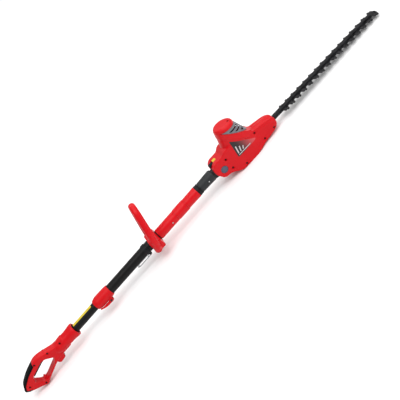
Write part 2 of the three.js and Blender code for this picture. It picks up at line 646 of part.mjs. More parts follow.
const HEAD_SCREWS = [[24, 14], [24, -26], [66, -50], [164, -40], [150, 6], [210, -36]];

function headShells() {
  const inside = headForm(WALL).intersect(block(28, 300, -80, 80, -100, 200));
  const slotShape = outline([[-60, 17], [-60, -100], [21, -100], [21, -2, 6], [12, 17, 8]]);
  const slot = prism("y", slotShape, -TONGUE_HALF - RUN, TONGUE_HALF + RUN);
  const axle = rod("y", PIVOT_R + GAP, -60, 60, { at: [0, -PIVOT_DROP], sides: 20 });
  const capSeats = [-1, 1].map((s) => {
    const [a, b] = [s * (KNUCKLE_HALF - 4), s * 60].sort((p, q) => p - q);
    return rod("y", CAP_R + GAP, a, b, { at: [0, -PIVOT_DROP], sides: 24 });
  });
  const bladeMouth = block(200, 260, -BLADE_SPINE - 2, BLADE_SPINE + 2, BLADE_Z - BLADE_THICK - 4,
    barBottom + BAR_HEIGHT + 1);
  const latchRoom = block(-60, 2, -8 - RUN, 8 + RUN, 16, 30)
    .add(block(-60, -16 + LATCH_TRAVEL + RUN, -7 - RUN, 7 + RUN, 28, 40));
  const bosses = HEAD_SCREWS.map(([x, z]) => rod("y", 4.4, -60, 60, { at: [x, z], sides: 8 })
    .intersect(headForm(1)));
  const recess = ([x, z]) => -headHalfAt(x) + 4 + (z > 0 && x > 100 ? 4 : 0);
  const bores = HEAD_SCREWS.map((at) => rod("y", 1.8 + GAP, -60, 16, { at, sides: 8 })
    .add(rod("y", 3 + GAP, -60, recess(at) + GAP, { at, sides: 8 })));
  let body = headForm(0).subtract(inside);
  bosses.forEach((boss) => (body = body.add(boss)));
  [slot, axle, ...capSeats, bladeMouth, latchRoom, ...bores].forEach((cut) => (body = body.subtract(cut)));
  return body.subtract(aboveBelt(0));
}

function headHalfAt(x) {
  if (x < 30) return KNUCKLE_HALF;
  return x < 140 ? BODY_HALF : NOSE_HALF;
}

function ventCover() {
  const shell = towerForm(0).subtract(towerForm(WALL)).intersect(aboveBelt(GAP * 1.5));
  const slots = [0, 1, 2].map((k) => {
    const z = 62 - k * 11;
    return block(MOTOR_X + 8, 200, -22, 22, z, z + 4.5).rotate(0, TOWER_TILT, 0)
      .translate(0, 0, 11 + 2 * k);
  });
  return slots.reduce((solid, slot) => solid.subtract(slot), shell)
    .subtract(rod("x", 3, MOTOR_X + 20, 200, { at: [0, 34], sides: 12 }));
}

function endCap() {
  const ring = (lift, radius) =>
    ellipse(MOTOR_X + 1 + lift * 0.1, TOWER_TOP + lift, radius, radius, TOWER_TILT);
  const outside = loft([ring(GAP * 1.5, TOWER_R - 0.5), ring(END_CAP_HEIGHT * 0.6, TOWER_R - 1.5),
    ring(END_CAP_HEIGHT, TOWER_R - 7)]);
  const inside = loft([ring(-2, TOWER_R - 4), ring(END_CAP_HEIGHT * 0.5, TOWER_R - 4.5),
    ring(END_CAP_HEIGHT - WALL, TOWER_R - 10)]);
  return outside.subtract(inside);
}

// ---------------------------------------------------------------- motor and gearbox
// A toothed wheel: straight-sided teeth round a circle, with a bore.
function toothedWheel(teeth, thick, bore, phase = 0) {
  const pitchRadius = (MODULE * teeth) / 2;
  const steps = [[-0.36, -1.25], [-0.11, 0.85], [0.11, 0.85], [0.36, -1.25]];
  const shape = new THREE.Shape();
  for (let i = 0; i < teeth; i++)
    steps.forEach(([share, height], k) => {
      const angle = ((i + share) / teeth) * 2 * Math.PI + phase;
      const radius = pitchRadius + height * MODULE;
      const point = [radius * Math.cos(angle), radius * Math.sin(angle)];
      if (i === 0 && k === 0) shape.moveTo(...point);
      else shape.lineTo(...point);
    });
  shape.closePath();
  const wheel = prism("z", shape, -thick / 2, thick / 2);
  return wheel.subtract(rod("z", bore, -thick, thick, { sides: 14 }));
}

function motor() {
  const at = [MOTOR_X, 0];
  const can = pipe("z", MOTOR_R, ROTOR_R + 1.4, MOTOR_BOTTOM, MOTOR_TOP - 10, { at, sides: 24 });
  const ends = [["lower", MOTOR_BOTTOM - 6, MOTOR_BOTTOM + 1], ["upper", MOTOR_TOP - 11, MOTOR_TOP - 4]];
  const endPlate = (a, b) => pipe("z", MOTOR_R - 2, RACE_R + GAP, a, b, { at });
  const closed = ends.reduce((solid, [, a, b]) => solid.add(endPlate(a, b)), can);
  const shaftTop = MOTOR_TOP - 2;
  const rotor = rod("z", ROTOR_R, MOTOR_BOTTOM + 4, MOTOR_TOP - 26, { at, sides: 20 })
    .add(rod("z", 8, MOTOR_TOP - 28, MOTOR_TOP - 14, { at, sides: 16 }))
    .subtract(rod("z", SHAFT_R + GAP, 0, 90, { at, sides: 14 }));
  const hub = pipe("z", 6, SHAFT_R + GAP, 10, 18, { at, sides: 16 });
  const blades = Array.from({ length: FAN_BLADES }, (_, i) =>
    block(4.5, FAN_R, -0.8, 0.8, 11, 18).rotate(0, 0, (i * 360) / FAN_BLADES).translate(MOTOR_X, 0, 0));
  const disc = pipe("z", FAN_R, SHAFT_R + GAP, 10, 11.6, { at, sides: 16 });
  const fan = blades.reduce((solid, blade) => solid.add(blade), hub.add(disc));
  const pinion = toothedWheel(PINION_TEETH, GEAR_THICK + 2, SHAFT_R - 0.8 + GAP, 0);
  const shaft = rod("z", SHAFT_R, 4, shaftTop, { at, sides: 14 })
    .add(rod("z", SHAFT_R - 0.8, GEAR_Z - 10, 5, { at, sides: 14 }));
  return {
    fixed: [
      piece("motor_can", darkGrey, closed),
      ...ends.map(([end, a, b]) => piece(`motor_bearing_${end}`, steel,
        pipe("z", RACE_R, SHAFT_R + GAP, a + 0.5, b - 0.5, { at, sides: 16 }))),
    ],
    turning: [
      piece("motor_shaft", steel, shaft),
      piece("armature", copper, rotor),
      piece("cooling_fan", black, fan),
      piece("pinion", steel, pinion.translate(MOTOR_X, 0, GEAR_Z)),
    ],
  };
}

function gearTrain() {
  const at = [gearX, 0];
  const gear = toothedWheel(GEAR_TEETH, GEAR_THICK, SHAFT_R + GAP);
  const top = BLADE_Z + GAP / 2 + BLADE_THICK;
  const disc = (z0, z1, side) =>
    rod("z", ECCENTRIC_R, z0, z1, { at: [gearX, side * ECCENTRICITY], sides: 20 })
      .subtract(rod("z", SHAFT_R + GAP, z0 - 1, z1 + 1, { at, sides: 14 }));
  const bearing = pipe("z", RACE_R, SHAFT_R + GAP, 4, 9, { at, sides: 16 });
  const floorBush = pipe("z", RACE_R, SHAFT_R + GAP, -38, -32, { at, sides: 16 });
  const plate = block(gearX - 14, gearX + 20, -20, 20, 9.5, 12.5)
    .subtract(rod("z", FAN_R + 2, 0, 30, { at: [MOTOR_X, 0], sides: 20 }));
  return {
    fixed: [
      piece("gearbox_plate", steel, plate),
      piece("gear_bearing_upper", brass, bearing),
      piece("gear_bearing_lower", brass, floorBush),
    ],
    turning: [
      piece("drive_gear", steel, gear.translate(gearX, 0, GEAR_Z)),
      piece("gear_shaft", steel, rod("z", SHAFT_R, -37.5, 9, { at, sides: 14 })),
      piece("upper_eccentric", steel, disc(BLADE_Z + GAP / 2, top, 1)),
      piece("lower_eccentric", steel, disc(BLADE_Z - GAP / 2 - BLADE_THICK, BLADE_Z - GAP / 2, -1)),
    ],
  };
}

// ---------------------------------------------------------------- blades
// One blade: a spine with teeth on both sides and a yoke round its eccentric.
function bladeShape(shift) {
  const yokeBack = gearX - ECCENTRIC_R - 2 * ECCENTRICITY - 6;
  const yokeFront = gearX + ECCENTRIC_R + 2 * ECCENTRICITY + 8;
  const near = [[yokeBack, YOKE_HALF], [yokeFront, YOKE_HALF], [yokeFront + 12, BLADE_SPINE]];
  for (let i = 0; i < TOOTH_COUNT; i++) {
    const x = FIRST_TOOTH + i * TOOTH_PITCH + shift;
    near.push([x - 9, BLADE_SPINE], [x - 4.5, TOOTH_REACH], [x + 1.5, TOOTH_REACH], [x + 6, BLADE_SPINE]);
  }
  near.push([bladeEnd - 4 + shift / 2, BLADE_SPINE], [bladeEnd + shift / 4, BLADE_SPINE - 4]);
  const far = near.map(([x, y]) => [x, -y]).reverse();
  return outline([...near, ...far]);
}

const boltPlaces = Array.from({ length: BLADE_BOLTS }, (_, i) =>
  barFrom + 40 + (i * (bladeEnd - barFrom - 80)) / (BLADE_BOLTS - 1));

function blade(z0, z1, shift) {
  const windowX = ECCENTRIC_R + 2 * ECCENTRICITY + RUN;
  const windowY = ECCENTRIC_R + ECCENTRICITY + RUN;
  const window = block(gearX - windowX, gearX + windowX, -windowY, windowY, z0 - 1, z1 + 1);
  const slotHalf = BOLT_R + ECCENTRICITY + RUN;
  const slots = boltPlaces.map((x) =>
    block(x - slotHalf, x + slotHalf, -BOLT_R - RUN, BOLT_R + RUN, z0 - 1, z1 + 1));
  const plate = prism("z", bladeShape(shift), z0, z1);
  return [window, ...slots].reduce((solid, cut) => solid.subtract(cut), plate);
}

function cuttingUnit() {
  const barTop = barBottom + BAR_HEIGHT;
  const barEnd = bladeEnd - 24;
  const barSide = outline([[barFrom, barBottom], [barEnd, barBottom], [barEnd, barBottom + 4, 1],
    [barEnd - 60, barTop - 1], [barFrom, barTop]]);
  const barSection = outline([[-BAR_HALF, barBottom - 1], [BAR_HALF, barBottom - 1],
    [BAR_HALF, barTop - 3, 1],
    [BAR_HALF - 3, barTop, 1], [3 - BAR_HALF, barTop, 1], [-BAR_HALF, barTop - 3, 1]]);
  const holes = boltPlaces.map((x) => rod("z", BOLT_R + GAP, -60, 60, { at: [x, 0], sides: 8 }));
  const bar = holes.reduce((solid, hole) => solid.subtract(hole),
    prism("y", barSide, -40, 40).intersect(prism("x", barSection, barFrom - 1, barEnd + 1)));
  const under = BLADE_Z - BLADE_THICK - GAP;
  const bolts = boltPlaces.map((x) => rod("z", BOLT_R, under - 1, barBottom + 3.5, { at: [x, 0], sides: 8 })
    .add(rod("z", 4.4, under - 2.4, under - GAP / 2, { at: [x, 0], sides: 6 })));
  return {
    fixed: [
      piece("blade_bar", blackSteel, bar),
      ...bolts.map((bolt, i) => piece(`blade_bolt_${i + 1}`, steel, bolt)),
    ],
    upper: piece("upper_blade", blackSteel, blade(BLADE_Z + GAP / 2, BLADE_Z + GAP / 2 + BLADE_THICK, 0)),
    lower: piece("lower_blade", blackSteel,
      blade(BLADE_Z - GAP / 2 - BLADE_THICK, BLADE_Z - GAP / 2, TOOTH_SHIFT)),
  };
}

// ---------------------------------------------------------------- pivot and latch
function pivotParts() {
  const inner = KNUCKLE_HALF - 4 - GAP;
  const axle = rod("y", PIVOT_R, -inner, inner, { at: [0, -PIVOT_DROP], sides: 20 });
  const caps = [["left", 1], ["right", -1]].map(([side, s]) => {
    const [a, b] = [s * (KNUCKLE_HALF - 4 + GAP), s * (KNUCKLE_HALF + 1)].sort((p, q) => p - q);
    return { side, cap: rod("y", CAP_R, a, b, { at: [0, -PIVOT_DROP], sides: 24 }) };
  });
  const ribs = [0, 1, 2].map((k) => block(-27 + k * 4.5, -25 + k * 4.5, -7, 7, 28, 31));
  const latch = ribs.reduce((solid, rib) => solid.add(rib), block(-29, -12, -8, 8, 21, 29));
  const spring = coil(2.6, 0.5, 8, 3).rotate(0, 90, 0).translate(-12 + GAP, 0, 24.5);
  return [
    piece("pivot_axle", steel, axle),
    ...caps.map(({ side, cap }) => piece(`pivot_cap_${side}`, darkGrey, cap)),
    piece("tilt_latch", black, latch),
    piece("latch_spring", steel, spring),
  ];
}

// ---------------------------------------------------------------- whole trimmer
function head() {
  const body = headShells();
  const drive = motor();
  const gears = gearTrain();
  const cutters = cuttingUnit();
  const group = new THREE.Group();
  group.add(
    piece("head_shell_left", red, body.intersect(leftHalf())),
    piece("head_shell_right", red, body.intersect(rightHalf())),
    piece("vent_cover", ventGrey, ventCover()),
    piece("motor_end_cap", red, endCap()),
    ...drive.fixed,
    ...drive.turning,
    ...gears.fixed,
    ...gears.turning,
    ...cutters.fixed,
    cutters.upper,
    cutters.lower,
    ...pivotParts(),
  );
  // The droop turns the head about its pivot, not about the pole's axis.
  const pivoted = new THREE.Group();
  group.position.z = PIVOT_DROP;
  pivoted.add(group);
  pivoted.rotation.y = degToRad(HEAD_DROOP);
  pivoted.position.z = -PIVOT_DROP;
  return pivoted;
}

const model = new THREE.Group();
const frontSleeve = sleeve();
model.add(
  ...poleTubes(frontSleeve.thread),
  ...frontSleeve.pieces,
  telescopeClamp(),
  ...rearHandle(),
  ...loopHandle(),
  ...strapHook(),
  ...adapter(),
  head(),
);

const bounds = new THREE.Box3().setFromObject(model, true);
const middle = bounds.getCenter(new THREE.Vector3());
model.position.set(-middle.x, -middle.y, -bounds.min.z);

const group = new THREE.Group();
group.add(model);
export default group;
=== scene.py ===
# %% [markdown]
# # A pole hedge trimmer
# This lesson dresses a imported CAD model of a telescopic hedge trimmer: black pole, red mouldings, a motor
# head that tilts, and a double-sided blade. The CAD bodies stay where they are and say how everything moves.
# Blender makes the surfaces: rounded mouldings, turned tubes, ground teeth, rubber and screws.

# %% Load the frame
import json
import math

import bmesh
import bpy
from mathutils import Matrix, Vector
from mathutils.bvhtree import BVHTree


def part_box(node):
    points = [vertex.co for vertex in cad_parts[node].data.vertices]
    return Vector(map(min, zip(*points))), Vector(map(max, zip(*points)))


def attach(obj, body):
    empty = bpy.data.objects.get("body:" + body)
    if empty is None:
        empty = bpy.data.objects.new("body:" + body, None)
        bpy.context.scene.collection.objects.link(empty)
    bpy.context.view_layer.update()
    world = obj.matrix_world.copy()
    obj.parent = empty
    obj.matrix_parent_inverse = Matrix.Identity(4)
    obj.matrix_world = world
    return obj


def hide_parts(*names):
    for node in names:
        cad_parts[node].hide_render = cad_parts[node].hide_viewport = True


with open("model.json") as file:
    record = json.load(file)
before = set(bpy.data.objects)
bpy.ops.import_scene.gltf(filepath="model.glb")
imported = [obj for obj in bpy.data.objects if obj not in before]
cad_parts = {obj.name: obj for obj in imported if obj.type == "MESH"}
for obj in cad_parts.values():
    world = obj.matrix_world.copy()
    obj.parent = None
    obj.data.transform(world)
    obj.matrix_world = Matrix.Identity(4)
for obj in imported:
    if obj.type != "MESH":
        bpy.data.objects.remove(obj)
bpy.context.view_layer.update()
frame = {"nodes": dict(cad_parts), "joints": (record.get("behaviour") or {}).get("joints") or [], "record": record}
print("CAD nodes:", len(frame["nodes"]))

# %% [markdown]
# ## Two working frames
# The trimmer is drawn in millimetres along its pole: x = 0 at the tilt pivot and z = 0 on the pole's axis.
# The head droops by two degrees at rest, so it has a frame of its own, turned about the pivot.
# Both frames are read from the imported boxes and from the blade's slide axis, so nothing is fitted by hand.

# %% Frames
MM = 0.001
tube_low, tube_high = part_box("outer_tube")
axle_low, axle_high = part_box("pivot_axle")
rim_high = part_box("handle_shell_left")[1]
pivot = (axle_low + axle_high) / 2
pole_z = (tube_low.z + tube_high.z) / 2
PIVOT_DROP = (pole_z - pivot.z) / MM
POLE = Matrix.Translation((pivot.x, 0, pole_z)) @ Matrix.Scale(MM, 4)
blade_joint = next(joint for joint in frame["joints"] if joint["name"] == "top_cutter_stroke")
droop = math.atan2(-blade_joint["axis"][2], blade_joint["axis"][0])
pivot_mm = Vector((0, 0, -PIVOT_DROP))
HEAD = POLE @ Matrix.Translation(pivot_mm) @ Matrix.Rotation(droop, 4, "Y") @ Matrix.Translation(-pivot_mm)
RIM_X = (rim_high.x - pivot.x) / MM


def span(node):
    """Where a CAD node starts and ends along the pole, in millimetres of the pole frame."""
    low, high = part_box(node)
    return (low.x - pivot.x) / MM, (high.x - pivot.x) / MM


print("droop", round(math.degrees(droop), 2), "rim", round(RIM_X, 1))

# %% [markdown]
# ## Camera
# A product shot from the user's right, about 31 degrees above the pole, rolled so that the pole climbs to
# the right. The camera stands a little over two metres off, which gives the pole its gentle taper.

# %% Camera
CAMERA_TARGET = Vector((-127, 0, -30))
CAMERA_DISTANCE = 2200
CAMERA_AZIMUTH = math.radians(91.9)
CAMERA_ELEVATION = math.radians(30.9)
CAMERA_ROLL = math.radians(-49.35)
CAMERA_LENS = 60.6


def make_camera():
    flat = math.cos(CAMERA_ELEVATION)
    down = -math.sin(CAMERA_ELEVATION)
    look = Vector((math.cos(CAMERA_AZIMUTH) * flat, math.sin(CAMERA_AZIMUTH) * flat, down))
    level = look.cross(Vector((0, 0, 1))).normalized()
    upright = level.cross(look)
    right = level * math.cos(CAMERA_ROLL) + upright * math.sin(CAMERA_ROLL)
    up = upright * math.cos(CAMERA_ROLL) - level * math.sin(CAMERA_ROLL)
    data = bpy.data.cameras.new("camera")
    data.lens = CAMERA_LENS
    data.sensor_width = 36
    data.clip_end = 50
    camera = bpy.data.objects.new("camera", data)
    turn = Matrix((right, up, -look)).transposed().to_4x4()
    camera.matrix_world = Matrix.Translation(POLE @ (CAMERA_TARGET - look * CAMERA_DISTANCE)) @ turn
    bpy.context.scene.collection.objects.link(camera)
    bpy.context.scene.camera = camera


make_camera()

# %% [markdown]
# ## Studio
# A pale floor under the laid-down trimmer and a bright even world. A wide sun lights the floor evenly out
# to the horizon, and two large panels put long soft highlights on the mouldings.

# %% Studio
def area_light(name, place, target, size, power):
    """A long soft panel: size is (length, width)."""
    data = bpy.data.lights.new(name, "AREA")
    data.shape = "RECTANGLE"
    data.size, data.size_y = size
    data.energy = power
    light = bpy.data.objects.new(name, data)
    light.location = place
    light.rotation_euler = (Vector(target) - Vector(place)).to_track_quat("-Z", "Y").to_euler()
    bpy.context.scene.collection.objects.link(light)


def make_studio():
    mesh = bpy.data.meshes.new("floor")
    half = 30
    corners = [(-half, -half, 0), (half, -half, 0), (half, half, 0), (-half, half, 0)]
    mesh.from_pydata(corners, [], [(0, 1, 2, 3)])
    floor = bpy.data.objects.new("floor", mesh)
    bpy.context.scene.collection.objects.link(floor)
    material = bpy.data.materials.new("studio_floor")
    material.use_nodes = True
    shader = material.node_tree.nodes["Principled BSDF"]
    shader.inputs["Base Color"].default_value = (0.93, 0.93, 0.93, 1)
    shader.inputs["Roughness"].default_value = 0.9
    shader.inputs["Specular IOR Level"].default_value = 0.1
    mesh.materials.append(material)
    world = bpy.data.worlds.new("studio")
    world.use_nodes = True
    world.node_tree.nodes["Background"].inputs["Color"].default_value = (1, 1, 1, 1)
    world.node_tree.nodes["Background"].inputs["Strength"].default_value = 0.5
    bpy.context.scene.world = world
    sun_data = bpy.data.lights.new("sun", "SUN")
    sun_data.energy = 2.2
    sun_data.angle = math.radians(85)
    sun = bpy.data.objects.new("sun", sun_data)
    sun.rotation_euler = Vector((-0.5, 0.25, -1)).to_track_quat("-Z", "Y").to_euler()
    bpy.context.scene.collection.objects.link(sun)
    area_light("key", (-0.1, -0.75, 1.5), (0, 0, 0), (2.4, 0.3), 9)
    area_light("rim", (0.2, 1.3, 1.3), (0, 0, 0.05), (2.4, 0.3), 7)
    bpy.context.scene.view_settings.view_transform = "Standard"


make_studio()

# %% [markdown]
# ## Shared shader groups
# Three effects are used by several finishes, so each is a node group, made once. *Moulded grain* gives the
# fine spark-eroded texture of a plastic tool. *Handling wear* finds the proud edges, which polish and pale.
# *Settled dust* breaks the roughness up in slow patches, so no surface is one flat value.

# %% Shader groups
def new_group(name, inputs, outputs):
    group = bpy.data.node_groups.new(name, "ShaderNodeTree")
    for label, value in inputs:
        socket = group.interface.new_socket(label, in_out="INPUT", socket_type="NodeSocketFloat")
        socket.default_value = value
    for label in outputs:
        group.interface.new_socket(label, in_out="OUTPUT", socket_type="NodeSocketFloat")
    start = group.nodes.new("NodeGroupInput")
    end = group.nodes.new("NodeGroupOutput")
    return group, start, end


def chain(tree, kind, **settings):
    """A new node in a tree, with its plain settings."""
    node = tree.nodes.new(kind)
    for key, value in settings.items():
        setattr(node, key, value)
    return node


def moulded_grain():
    group, start, end = new_group("moulded_grain", [("Scale", 900), ("Coarse", 0.3)], ["Height"])
    place = chain(group, "ShaderNodeTexCoord")
    fine = chain(group, "ShaderNodeTexNoise")
    cells = chain(group, "ShaderNodeTexVoronoi")
    mix = chain(group, "ShaderNodeMath", operation="MULTIPLY_ADD")
    fine.inputs["Detail"].default_value = 3
    link = group.links.new
    link(place.outputs["Object"], fine.inputs["Vector"])
    link(place.outputs["Object"], cells.inputs["Vector"])
    link(start.outputs["Scale"], fine.inputs["Scale"])
    link(start.outputs["Scale"], cells.inputs["Scale"])
    link(cells.outputs["Distance"], mix.inputs[0])
    link(start.outputs["Coarse"], mix.inputs[1])
    link(fine.outputs["Fac"], mix.inputs[2])
    link(mix.outputs["Value"], end.inputs["Height"])
    return group


def handling_wear():
    group, start, end = new_group("handling_wear", [("Sharpness", 0.54), ("Breakup", 60)], ["Mask"])
    place = chain(group, "ShaderNodeTexCoord")
    shape = chain(group, "ShaderNodeNewGeometry")
    patches = chain(group, "ShaderNodeTexNoise")
    edge = chain(group, "ShaderNodeMath", operation="SUBTRACT")
    gain = chain(group, "ShaderNodeMath", operation="MULTIPLY", use_clamp=True)
    mask = chain(group, "ShaderNodeMath", operation="MULTIPLY", use_clamp=True)
    gain.inputs[1].default_value = 9
    link = group.links.new
    link(place.outputs["Object"], patches.inputs["Vector"])
    link(start.outputs["Breakup"], patches.inputs["Scale"])
    link(shape.outputs["Pointiness"], edge.inputs[0])
    link(start.outputs["Sharpness"], edge.inputs[1])
    link(edge.outputs["Value"], gain.inputs[0])
    link(gain.outputs["Value"], mask.inputs[0])
    link(patches.outputs["Fac"], mask.inputs[1])
    link(mask.outputs["Value"], end.inputs["Mask"])
    return group


def settled_dust():
    group, start, end = new_group("settled_dust", [("Scale", 14), ("Amount", 0.5)], ["Mask"])
    place = chain(group, "ShaderNodeTexCoord")
    slow = chain(group, "ShaderNodeTexNoise")
    curve = chain(group, "ShaderNodeMapRange")
    slow.inputs["Detail"].default_value = 6
    slow.inputs["Roughness"].default_value = 0.65
    curve.inputs["From Min"].default_value = 0.38
    curve.inputs["From Max"].default_value = 0.72
    link = group.links.new
    link(place.outputs["Object"], slow.inputs["Vector"])
    link(start.outputs["Scale"], slow.inputs["Scale"])
    link(slow.outputs["Fac"], curve.inputs["Value"])
    link(start.outputs["Amount"], curve.inputs["To Max"])
    link(curve.outputs["Result"], end.inputs["Mask"])
    return group


GRAIN = moulded_grain()
WEAR = handling_wear()
DUST = settled_dust()
print("groups:", [group.name for group in (GRAIN, WEAR, DUST)])

# %% [markdown]
# ## Finishes
# Every finish is the same short recipe with its own numbers: a base colour, a worn colour that shows on
# proud edges, a dusty roughness, and a bump from the grain. Constant numbers sit on the shader itself.

# %% Finish recipe
def use_group(tree, group, **values):
    node = chain(tree, "ShaderNodeGroup", node_tree=group)
    for key, value in values.items():
        node.inputs[key].default_value = value
    return node


EDGE_SHARPNESS = 0.54


def finish(name, colour, worn, roughness, metallic=0.0, grain=(900, 0.3, 0.05), gloss=0.25, dense=False):
    """A material: grain is (scale, coarse, bump) and gloss is the strength of its shine.
    Edge wear needs a dense mesh; a plain one gets worn colour in slow patches instead."""
    material = bpy.data.materials.new(name)
    material.use_nodes = True
    tree = material.node_tree
    link = tree.links.new
    shader = tree.nodes["Principled BSDF"]
    shader.inputs["Metallic"].default_value = metallic
    shader.inputs["Specular IOR Level"].default_value = gloss
    patches = use_group(tree, DUST, Scale=14, Amount=0.5)
    if dense:
        edges = use_group(tree, WEAR, Sharpness=EDGE_SHARPNESS)
    else:
        edges = use_group(tree, DUST, Scale=90, Amount=0.22)
    texture = use_group(tree, GRAIN, Scale=grain[0], Coarse=grain[1])
    tint = chain(tree, "ShaderNodeMix", data_type="RGBA")
    tint.inputs["A"].default_value = (*colour, 1)
    tint.inputs["B"].default_value = (*worn, 1)
    link(edges.outputs["Mask"], tint.inputs["Factor"])
    link(tint.outputs["Result"], shader.inputs["Base Color"])
    rough = chain(tree, "ShaderNodeMapRange")
    rough.inputs["To Min"].default_value = roughness
    rough.inputs["To Max"].default_value = min(roughness + 0.18, 1)
    link(patches.outputs["Mask"], rough.inputs["Value"])
    link(rough.outputs["Result"], shader.inputs["Roughness"])
    bump = chain(tree, "ShaderNodeBump")
    bump.inputs["Strength"].default_value = grain[2]
    bump.inputs["Distance"].default_value = 0.0004
    link(texture.outputs["Height"], bump.inputs["Height"])
    link(bump.outputs["Normal"], shader.inputs["Normal"])
    return material


# %% Finishes of this trimmer
red = finish("red_plastic", (0.56, 0.0015, 0.006), (0.64, 0.02, 0.03),
             0.30, grain=(1400, 0.3, 0.06), gloss=0.2, dense=True)
red_grip = finish("red_grip", (0.52, 0.0015, 0.005), (0.60, 0.02, 0.03),
                  0.38, grain=(900, 0.6, 0.18), gloss=0.18, dense=True)
black = finish("black_plastic", (0.006, 0.006, 0.007), (0.03, 0.03, 0.034),
               0.42, grain=(1000, 0.5, 0.15), gloss=0.14)
grey = finish("grey_plastic", (0.022, 0.024, 0.026), (0.09, 0.095, 0.10),
              0.40, grain=(900, 0.5, 0.15), gloss=0.2, dense=True)
vent = finish("vent_plastic", (0.15, 0.145, 0.165), (0.26, 0.26, 0.29),
              0.36, grain=(1100, 0.3, 0.08), gloss=0.35, dense=True)
cap = finish("cap_plastic", (0.075, 0.078, 0.115), (0.16, 0.17, 0.22), 0.38, grain=(900, 0.3, 0.10))
rubber = finish("grip_rubber", (0.004, 0.004, 0.004), (0.016, 0.016, 0.016),
                0.72, grain=(600, 0.9, 0.35), gloss=0.08, dense=True)
tube_paint = finish("tube_paint", (0.005, 0.0045, 0.0045), (0.02, 0.02, 0.02),
                    0.36, grain=(2200, 0.2, 0.05), gloss=0.14)
steel = finish("bright_steel", (0.56, 0.57, 0.58), (0.75, 0.75, 0.76), 0.28, 1.0, grain=(1500, 0.2, 0.08))
dark_steel = finish("dark_steel", (0.007, 0.007, 0.008), (0.10, 0.10, 0.11),
                    0.42, grain=(1200, 0.4, 0.12), gloss=0.12)
ground = finish("ground_steel", (0.009, 0.009, 0.010), (0.12, 0.12, 0.13),
                0.40, grain=(1600, 0.2, 0.10), gloss=0.14)
brass = finish("bearing_brass", (0.47, 0.31, 0.09), (0.65, 0.48, 0.2), 0.32, 1.0)
copper = finish("winding_copper", (0.42, 0.14, 0.04), (0.6, 0.3, 0.12), 0.38, 0.9)
yellow = finish("label_yellow", (0.62, 0.47, 0.035), (0.72, 0.58, 0.10), 0.45, grain=(800, 0.2, 0.03))
ink = finish("label_ink", (0.02, 0.018, 0.015), (0.05, 0.05, 0.04), 0.5, grain=(800, 0.2, 0.02))

# %% [markdown]
# ## Mesh helpers
# A handful of makers' tools: an outline with rounded corners, a prism with rounded rims, a turned ring and a
# skin over rings of points. Each returns plain points and faces in millimetres, so solids can be joined,
# cut and only then placed.

# %% Outline
def outline(corners, steps=6):
    """Corners (u, v, rounding) as a loop of points, each corner turned by a short curve."""
    count = len(corners)
    loop = []
    for i, corner in enumerate(corners):
        here = Vector(corner[:2])
        before = Vector(corners[i - 1][:2])
        after = Vector(corners[(i + 1) % count][:2])
        wanted = corner[2] if len(corner) > 2 else 0
        radius = min(wanted, 0.48 * min((here - before).length, (here - after).length))
        if radius <= 0:
            loop.append(here)
            continue
        start = here + (before - here).normalized() * radius
        end = here + (after - here).normalized() * radius
        for k in range(steps + 1):
            t = k / steps
            loop.append(start * (1 - t) ** 2 + here * 2 * t * (1 - t) + end * t ** 2)
    return loop


def rounded(corners, steps=4):
    """The same loop as plain pairs, ready to be turned."""
    return [tuple(point) for point in outline(corners, steps)]


def area_of(loop):
    return sum(a.x * b.y - b.x * a.y for a, b in zip(loop, loop[1:] + loop[:1])) / 2


def moved_in(corners, distance):
    """The corners of an outline moved inwards; outer corners get tighter and inner ones wider."""
    points = [Vector(corner[:2]) for corner in corners]
    count = len(points)
    turn = math.copysign(1, area_of(points))
    moved = []
    for i, here in enumerate(points):
        before = (here - points[i - 1]).normalized()
        after = (points[(i + 1) % count] - here).normalized()
        normal = Vector((-before.y - after.y, before.x + after.x))
        place = here + normal * distance * turn / max(1 + before.dot(after), 0.3)
        bend = before.cross(after) * turn
        rounding = corners[i][2] if len(corners[i]) > 2 else 0
        if rounding > 0:
            rounding = max(rounding - math.copysign(distance * 0.45, bend), 0.4)
        moved.append((place.x, place.y, rounding))
    return moved


# %% Solids
LIFT = {
    "x": lambda u, v, w: Vector((w, u, v)),
    "y": lambda u, v, w: Vector((u, w, v)),
    "z": lambda u, v, w: Vector((u, v, w)),
}


def skin(rings):
    """Points and faces of a closed skin over rings of the same count, capped at both ends."""
    count = len(rings[0])
    points = [point for ring in rings for point in ring]
    faces = []
    for k in range(len(rings) - 1):
        for i in range(count):
            j = (i + 1) % count
            faces.append((k * count + i, k * count + j, (k + 1) * count + j, (k + 1) * count + i))
    faces.append(tuple(reversed(range(count))))
    last = (len(rings) - 1) * count
    faces.append(tuple(range(last, last + count)))
    return points, faces


def prism(axis, corners, low, high, rim=0.0, steps=4, arc=6):
    """An outline pushed along an axis, its two rims rounded by a radius."""
    levels = [(0.0, 0.0)]
    if rim > 0:
        levels = [(rim * (1 - math.sin(a)), rim * (1 - math.cos(a)))
                  for a in (math.pi / 2 * k / steps for k in range(steps + 1))]
    stations = [(inset, low + rise) for inset, rise in levels] if rim > 0 else [(0.0, low)]
    stations += [(inset, high - rise) for inset, rise in reversed(levels)] if rim > 0 else [(0.0, high)]
    rings = []
    for inset, place in stations:
        loop = outline(moved_in(corners, inset), arc)
        rings.append([LIFT[axis](p.x, p.y, place) for p in loop])
    return skin(rings)


def turned(profile, axis="x", centre=(0, 0), sides=96):
    """A closed profile of (place, radius) turned round a line; points on the line meet in one."""
    points, faces = [], []
    count = len(profile)
    for i in range(sides):
        angle = 2 * math.pi * i / sides
        for place, radius in profile:
            u = centre[0] + radius * math.cos(angle)
            v = centre[1] + radius * math.sin(angle)
            points.append(LIFT[axis](u, v, place))
    for i in range(sides):
        j = (i + 1) % sides
        for k in range(count):
            m = (k + 1) % count
            faces.append((i * count + k, i * count + m, j * count + m, j * count + k))
    return points, faces


